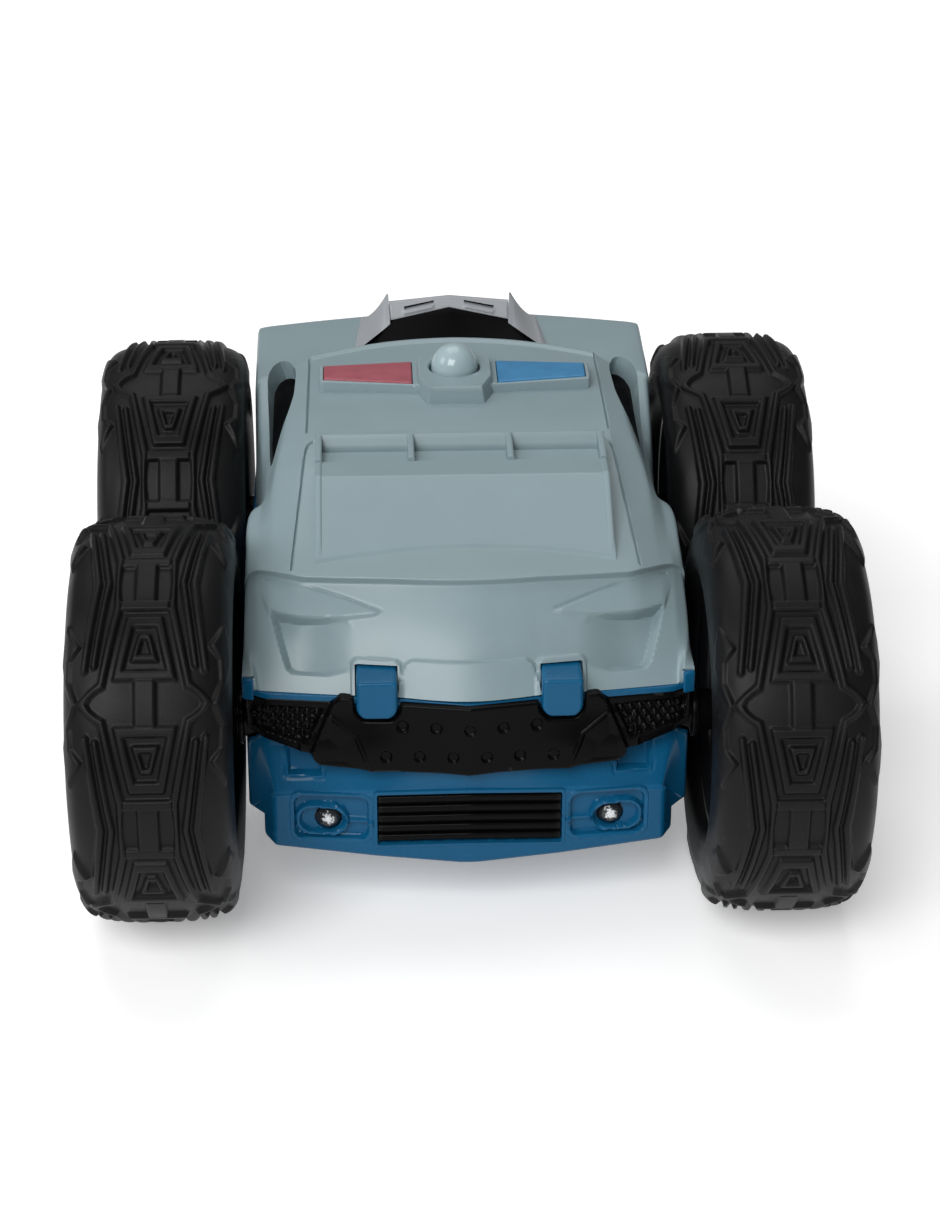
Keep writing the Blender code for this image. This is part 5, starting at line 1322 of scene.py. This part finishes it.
def scoop_height(x, y, low):
    """The scoop's top: a sloping face between raised sides, then a lip and three stepped bays."""
    front = scoop_front(x)
    lip = low + (LIP_Z - low) * np.clip((y - front) / (SCOOP_FACE - front), 0.0, 1.0)
    ridge = np.interp(y, (SCOOP_SIDES, SCOOP_BACK), RIDGE_Z)
    rear = np.clip((y - SCOOP_REAR[0]) / (SCOOP_REAR[1] - SCOOP_REAR[0]), 0.0, 1.0)
    floor = np.where(y > SCOOP_SLOT, SLOT_Z, BAY_Z)
    floor = np.where(y > SCOOP_REAR[0], BAY_Z + (ridge - BAY_Z) * rear, floor)
    plain = np.where(y > SCOOP_BAYS, floor, lip)
    side = np.abs(np.abs(x) - SCOOP_HALF + SCOOP_WALL / 2) - SCOOP_WALL / 2
    divider = np.abs(np.abs(x) - SCOOP_DIVIDER) - SCOOP_WALL / 2
    divider = np.where(y > SCOOP_BAYS, divider, 1.0)
    wall = np.minimum(np.minimum(side, divider), SCOOP_REAR[1] - y)
    crest = np.where(y > SCOOP_SIDES, ridge, np.minimum(lip + SIDE_HIGH * smooth(*SIDE_FADE, y), ridge))
    crest = crest - 0.8 * edge_drop(wall, 0.45)
    return np.where(wall < 0.0, np.maximum(crest, plain), plain)


def scoop_lines():
    """The grid lines across and along the scoop, closest beside its walls and steps."""
    half = SCOOP_WALL / 2
    stops = [SCOOP_HALF - SCOOP_WALL, SCOOP_HALF, SCOOP_DIVIDER - half, SCOOP_DIVIDER + half]
    stops = [-v for v in stops] + stops
    xs = lines_with(stops, SCOOP_GRID, SCOOP_NUDGE)
    xs.update(v + k * WALL_GRID for v in stops for k in (-3, -2, -1, 1, 2, 3))
    xs = [v for v in sorted(xs) if abs(v) < SCOOP_HALF - EDGE_ROOM]
    ys = lines_with(SCOOP_STEPS, SCOOP_GRID, SCOOP_NUDGE)
    ys.update(REAR_GRID)
    ys = [v for v in sorted(ys) if SCOOP_START < v < SCOOP_BACK - EDGE_ROOM]
    return [-SCOOP_HALF, *xs, SCOOP_HALF], [*ys, SCOOP_BACK]


def make_scoop(surface):
    """The wedge on the bonnet, as a height map over crisp grid lines with skirts down to the shell."""
    x, y = np.meshgrid(*scoop_lines())
    stretch = (scoop_front(x) - SCOOP_FACE) / (y[0, 0] - SCOOP_FACE)
    y = np.where(y < SCOOP_FACE - 0.1, SCOOP_FACE + (y - SCOOP_FACE) * stretch, y)
    bare = roof_heights(surface, x, y)
    z = np.maximum(scoop_height(x, y, bare[0] + 0.2), bare + 0.1)
    z[0] = bare[0] - 0.2
    grid = np.stack([x, y, z], -1)
    skirt = np.stack([x, y, bare - SKIRT], -1)
    grid = np.concatenate([skirt[:, :1], grid, skirt[:, -1:]], 1)
    tail = grid[-1:].copy()
    tail[0, 1:-1] = skirt[-1]
    grid = np.concatenate([grid, tail])
    shape = grid.reshape(-1, 3), grid_faces(*grid.shape[:2]).tolist()
    piece("hood_scoop_bays", shape, "chassis", "body_grey", "hood_scoop")


BAR_POD = [(0.0, 24.0), (6.2, 24.0), (8.7, 31.0), (8.7, 40.4), (6.2, 46.4), (0.0, 46.4)]
POD_BASE = 77.0
POD_TOP = 81.8
POD_WALL = (3.3, 0.9)
ARM_FRONT = (29.6, 32.4)
ARM_BACK = (43.2, 41.4)
ARM_X = (7.0, 29.6)
ARM_Z = (80.1, 76.4)
SEAT_X = (9.2, 28.8)
SEAT_INSET = 0.8
LENS_X = (9.35, 28.65)
LENS_INSET = 0.95
LENS_Z = (80.35, 78.6)
LENS_CROWN = 0.1
BUTTON_Y = 36.0
BUTTON_HOLE = 5.65
BUTTON_RADIUS = 5.1
BUTTON_TOP = 86.85
BUTTON_STEM = [(73.4, 0.05), (73.4, 1.6), (73.6, 1.8), (80.3, 1.8), (80.3, 4.8), (80.5, BUTTON_RADIUS)]


def arm_plan(side, inner, outer, inset):
    """One arm of the light bar from above."""
    return [(side * inner, ARM_FRONT[0] + inset), (side * outer, ARM_FRONT[1] + inset),
            (side * outer, ARM_BACK[1] - inset), (side * inner, ARM_BACK[0] - inset)]


def raised(outline, holes, step, top, low, edge, crown, insets):
    """A plate seen from above with a rounded edge, a level back and a slight crown."""
    def above(u, v):
        distance = in_polygon(u, v, outline)
        return u, v, top - edge_drop(distance, edge) + crown * smooth(0.0, 4.0, -distance)

    return patch(outline, holes, step, above, level(low), insets)


def make_light_bar():
    """An eight-sided pod with the button's hole, two tapering arms with lens seats, and the two lenses."""
    pod = rounded(mirror_outline(BAR_POD), 0.4)
    hole = circle(0.0, BUTTON_Y, BUTTON_HOLE, 64)

    def pod_top(u, v):
        wall = np.maximum(POD_WALL[0] * (1 + in_polygon(u, v, pod) / POD_WALL[1]), 0.0)
        return u, v, POD_TOP - wall - edge_drop(BUTTON_HOLE - np.hypot(u, v - BUTTON_Y), 0.3)

    shapes = [patch(pod, [hole], 0.6, pod_top, level(POD_BASE), (0.3, 0.6, 0.86, 1.0))]
    for (side, _), colour in zip(SIDES, ("red", "blue")):
        arm = rounded(arm_plan(side, *ARM_X, 0.0), 0.8)
        seat = arm_plan(side, *SEAT_X, SEAT_INSET)
        shapes.append(raised(arm, [seat], 0.8, *ARM_Z, 0.4, 0.0, (0.1, 0.25, 0.4)))
        lens = rounded(arm_plan(side, *LENS_X, LENS_INSET), 0.4)
        shape = raised(lens, [], 0.7, *LENS_Z, 0.3, LENS_CROWN, (0.1, 0.2, 0.3))
        piece(colour + "_lamp_lens", shape, "chassis", "lamp_" + colour, colour + "_lamp")
    piece("light_bar_pod", merged(*shapes), "chassis", "body_grey", "light_bar")


def make_button():
    """The dome of the button with a straight skirt and its stem."""
    profile = list(BUTTON_STEM)
    for a in np.linspace(0, math.pi / 2, 20)[:-1]:
        height = POD_TOP + (BUTTON_TOP - POD_TOP) * math.sin(a)
        profile.append((height, BUTTON_RADIUS * math.cos(a)))
    profile.append((BUTTON_TOP, 0.05))
    shape = lathe(profile, (0.0, BUTTON_Y, 0.0), "z", 72)
    # the dome's paler grey is painted light
    piece("beacon_button_dome", shape, "button", "light_grey", "beacon_button", skin=DOME_LIGHTENED_GREY)


# Rings of a lower lamp: distance backward, radius, share of the facets
LAMP_RINGS = [(4.8, 0.4, 0.0), (4.8, 2.9, 0.0), (2.9, 2.9, 0.0), (2.9, 2.5, 0.0), (1.9, 2.5, 0.0),
              (1.2, 2.35, 0.0), (0.65, 1.95, 0.3), (0.3, 1.4, 0.6), (0.1, 0.8, 0.6), (0.0, 0.1, 0.0)]
LAMP_SIDES = 64
LAMP_FACETS = 6
FACET_DEEP = 0.16


def make_headlamp(label, side):
    """A round lamp in its hole: a dark collar round a faceted end, which gets a painted highlight in its
    middle from its material.
    """
    seat = on_pan(LAMP[0], 0.0)
    angle = turns(LAMP_SIDES)
    rings = []
    for back, radius, share in LAMP_RINGS:
        x = side * LAMP[0] + radius * np.cos(angle)
        y = seat + back + FACET_DEEP * share * np.cos(LAMP_FACETS * angle)
        rings.append(np.stack([x, y, LAMP[1] + radius * np.sin(angle)], -1))
    piece("headlamp_" + label + "_lens", capped(rings), "chassis", "lamp_clear", "headlamp_" + label,
          skin=LAMP_GLASS)


def make_grille():
    """Five rounded bars that follow the nose in front of a back plate."""
    _, middle, half_wide, half_high = grown(GRILLE, -0.3)
    low = middle - half_high
    high = middle + half_high
    path = [(x, on_pan(x, 0.0), grille_arch(x)) for x in np.linspace(-half_wide, half_wide, 41)]
    pitch = (high - low) / GRILLE_BARS
    shapes = [swept(rect(*GRILLE_PLATE_Y, low, high), path)]
    for i in range(GRILLE_BARS):
        z = low + (i + 0.5) * pitch
        half_bar = BAR_SHARE * pitch
        shapes.append(swept(rounded(rect(*GRILLE_BAR_Y, z - half_bar, z + half_bar), 0.5), path))
    piece("grille_insert_bars", merged(*shapes), "chassis", "black_plastic", "grille_insert")


REAR_WINDOW = [(0.0, 61.2), (10.0, 60.3), (18.5, 58.6), (21.4, 65.4), (14.2, 72.4), (13.6, 73.2),
               (0.0, 74.6)]
WINDOW_Z = (74.3, 75.3)
WINDOW_RISE = (65.6, 73.0)
WING_HALF = 13.8
WING = [(0.0, 81.9), (WING_HALF, 80.8), (WING_HALF, 77.1), (0.0, 79.6), (-WING_HALF, 77.1),
        (-WING_HALF, 80.8)]
WING_SLOT = [(3.4, 81.3), (10.4, 80.1), (10.2, 79.4), (3.6, 80.6)]
SLOT_BAR_DROP = 0.85
SLOT_BAR_HIGH = 0.25
WING_FOOT = (73.0, 77.3)
WING_SLOPE = 0.6
WING_WALL = 1.3
UNDER_WING = (80.0, 77.4)
# A black strip behind the wing's slots, as painted shade: it stands for the shade seen through the slots
SLOT_SHADE_STRIP = (0.0, 79.95, 12.4, 1.05)
SLOT_SHADE_WELL = (0.0, 79.95, 11.6, 0.6)
SLOT_SHADE_SLOPE = 0.08
SLOT_SHADE_FACES = (1.25, 1.8)
LEG_STATIONS = 13
LEG_CURVE = 1.8
LEG_TOP = ((13.9, 76.6, 82.7), (19.9, 78.6, 76.0))
LEG_LOW = ((13.5, 71.6, 77.0), (21.1, 59.6, 75.8))
LEG_TOP_WALL = (0.5, 0.8, -0.5)
LEG_LOW_WALL = (0.9, 0.9, -0.5)


def wing_lean(height):
    """How far back the wing's front face lies at a height."""
    return WING_FOOT[0] + (height - WING_FOOT[1]) * WING_SLOPE


def make_rear_window():
    """The black panel under the wing, from the roof's rear edge up to the wing, and a black strip behind the
    wing's slots as painted shade, so the slots look dark.
    """
    outline = rounded(mirror_outline(REAR_WINDOW), 0.4)
    slot_shade = rounded(box_corners(SLOT_SHADE_STRIP), 0.3)

    def top(u, v):
        under_wing = np.interp(np.abs(u), (0.0, WING_HALF), UNDER_WING)
        rise = np.interp(v, WINDOW_RISE, (0.0, 1.0))
        z = WINDOW_Z[1] + rise * (under_wing - WINDOW_Z[1])
        return u, v, z - edge_drop(in_polygon(u, v, outline), 0.3)

    def slot_shade_front(u, v):
        height = v - SLOT_SHADE_SLOPE * np.abs(u)
        return u, wing_lean(height) + SLOT_SHADE_FACES[0], height

    def slot_shade_back(u, v):
        height = v - SLOT_SHADE_SLOPE * np.abs(u)
        well = 0.2 * inside(in_box(u, v, SLOT_SHADE_WELL, 0.3), 0.2)
        return u, wing_lean(height) + SLOT_SHADE_FACES[1] - well, height

    panel = patch(outline, [], 0.8, top, level(WINDOW_Z[0]), (0.1, 0.2, 0.3))
    # the panel together with the painted shade strip behind the slots
    shape = merged(panel, patch(slot_shade, [], 0.5, slot_shade_front, slot_shade_back, (0.15,)))
    piece("rear_window_panel_and_slot_shade", shape, "chassis", "window_black", "rear_window")


def spoiler_leg():
    """The right leg of the wing: a blade from the pointed end fin forward and down to the roof's edge."""
    rings = []
    for share in np.linspace(0, 1, LEG_STATIONS):
        fall = np.array((share, share, 1 - (1 - share) ** LEG_CURVE))
        top = LEG_TOP[0] + np.subtract(LEG_TOP[1], LEG_TOP[0]) * fall
        low = LEG_LOW[0] + np.subtract(LEG_LOW[1], LEG_LOW[0]) * share
        rings.append([low, top, top + LEG_TOP_WALL, low + LEG_LOW_WALL])
    return bevelled(capped(rings), 0.2, 2)


def make_spoiler():
    """A wing that rises to its middle, with a slot each side, pointed end fins and two flared legs."""
    slots = [[(side * u, v) for u, v in WING_SLOT] for side, _ in SIDES]

    def front(u, v):
        bar = np.min([in_polygon(u, v + SLOT_BAR_DROP, slot) for slot in slots], 0)
        edge = edge_drop(in_polygon(u, v, WING), 0.4)
        return u, wing_lean(v) + edge - SLOT_BAR_HIGH * inside(bar, 0.15), v

    def back(u, v):
        return u, wing_lean(v) + WING_WALL, v

    shapes = [patch(WING, slots, 0.3, front, back, (0.12, 0.28))]
    shapes += [mirrored(spoiler_leg(), side) for side, _ in SIDES]
    piece("rear_spoiler_wing", merged(*shapes), "chassis", "light_grey", "rear_spoiler")


def dress_nodes():
    """Materials and softened edges for the CAD nodes that stay as they are."""
    for entry in frame["record"]["subparts"]:
        node = frame["nodes"][entry["node"]]
        if node.hide_render:
            continue
        node.data.materials.clear()
        node.data.materials.append(SKINS[entry["material_slot"]])
        edge = node.modifiers.new("edge", "BEVEL")
        edge.width = NODE_EDGE * MM
        edge.segments = 2
        edge.limit_method = "ANGLE"
        edge.angle_limit = NODE_SHARP


# Lamps: name, place and size in metres, watts
LAMPS = [("key", (-0.75, -1.75, 1.75), 1.4, 47.0), ("left", (-2.0, -0.3, 1.3), 1.0, 11.0),
         ("top", (-0.2, 1.1, 2.3), 1.8, 19.0)]
LAMP_AIM = (0.0, 0.0, 0.04)
FLOOR_REACH = 6.0
FLOOR_COLOUR = (0.93, 0.93, 0.93)
SURROUND = 0.2
FLOOR_GLOW = 0.3


def make_floor():
    """A pale studio floor that keeps the car's shadow and looks a little paler than it is lit."""
    mesh = bpy.data.meshes.new("floor")
    corners = rect(-FLOOR_REACH, FLOOR_REACH, -FLOOR_REACH, FLOOR_REACH)
    mesh.from_pydata([(x, y, 0.0) for x, y in corners], [], [(0, 1, 2, 3)])
    floor = bpy.data.objects.new("floor", mesh)
    skin = finish("floor_paper", FLOOR_COLOUR, 0.9, vary=0.004, bump=0.0)
    tree = skin.node_tree
    shader = tree.nodes["Principled BSDF"]
    shader.inputs["Emission Color"].default_value = (1.0, 1.0, 1.0, 1.0)
    rays = tree.nodes.new("ShaderNodeLightPath").outputs
    seen = rays["Is Camera Ray"]
    for kind in ("Is Glossy Ray", "Is Transmission Ray"):
        seen = maths(tree, "ShaderNodeMath", "MAXIMUM", seen, rays[kind]).outputs[0]
    glow = maths(tree, "ShaderNodeMath", "MULTIPLY", seen, FLOOR_GLOW)
    feed(tree, shader.inputs["Emission Strength"], glow.outputs[0])
    mesh.materials.append(skin)
    bpy.context.scene.collection.objects.link(floor)


def make_light():
    """A wide soft lamp above the nose, weaker ones beside and above, and an even dim surround."""
    for name, at, size, power in LAMPS:
        lamp = bpy.data.lights.new(name, "AREA")
        lamp.energy = power
        lamp.size = size
        holder = bpy.data.objects.new(name, lamp)
        holder.location = at
        holder.rotation_euler = (Vector(LAMP_AIM) - Vector(at)).to_track_quat("-Z", "Y").to_euler()
        bpy.context.scene.collection.objects.link(holder)
    world = bpy.data.worlds.new("surround")
    bpy.context.scene.world = world
    world.use_nodes = True
    background = world.node_tree.nodes["Background"]
    background.inputs["Color"].default_value = (1, 1, 1, 1)
    background.inputs["Strength"].default_value = SURROUND


def make_camera():
    """The camera in front of the nose and above it."""
    camera = bpy.data.objects.new("camera", bpy.data.cameras.new("camera"))
    camera.data.lens = CAMERA_LENS
    camera.data.sensor_width = CAMERA_SENSOR
    camera.data.shift_x = CAMERA_SHIFT
    camera.data.clip_start = CAMERA_CLIP * MM
    camera.location = Vector(CAMERA_AT) * MM
    camera.rotation_euler = (-Vector(CAMERA_BACK)).to_track_quat("-Z", "Y").to_euler()
    bpy.context.scene.collection.objects.link(camera)
    bpy.context.scene.camera = camera


LAMP_GLASS = lamp_skin()
make_camera()
shell_surface = make_upper_shell()
make_lower_shell()
make_front_bumper()
make_rear_bumper()
make_scoop(shell_surface)
make_light_bar()
make_button()
make_grille()
make_rear_window()
make_spoiler()
for lamp_side, lamp_label in SIDES:
    make_headlamp(lamp_label, lamp_side)
for wheel_side, side_name in SIDES:
    for wheel_end, end_name in ENDS:
        for make in (make_tyre, make_rim, make_nut, make_bush):
            make(end_name + "_" + side_name, wheel_side, wheel_end)
dress_nodes()
make_floor()
make_light()
bpy.context.scene.view_settings.view_transform = "Standard"
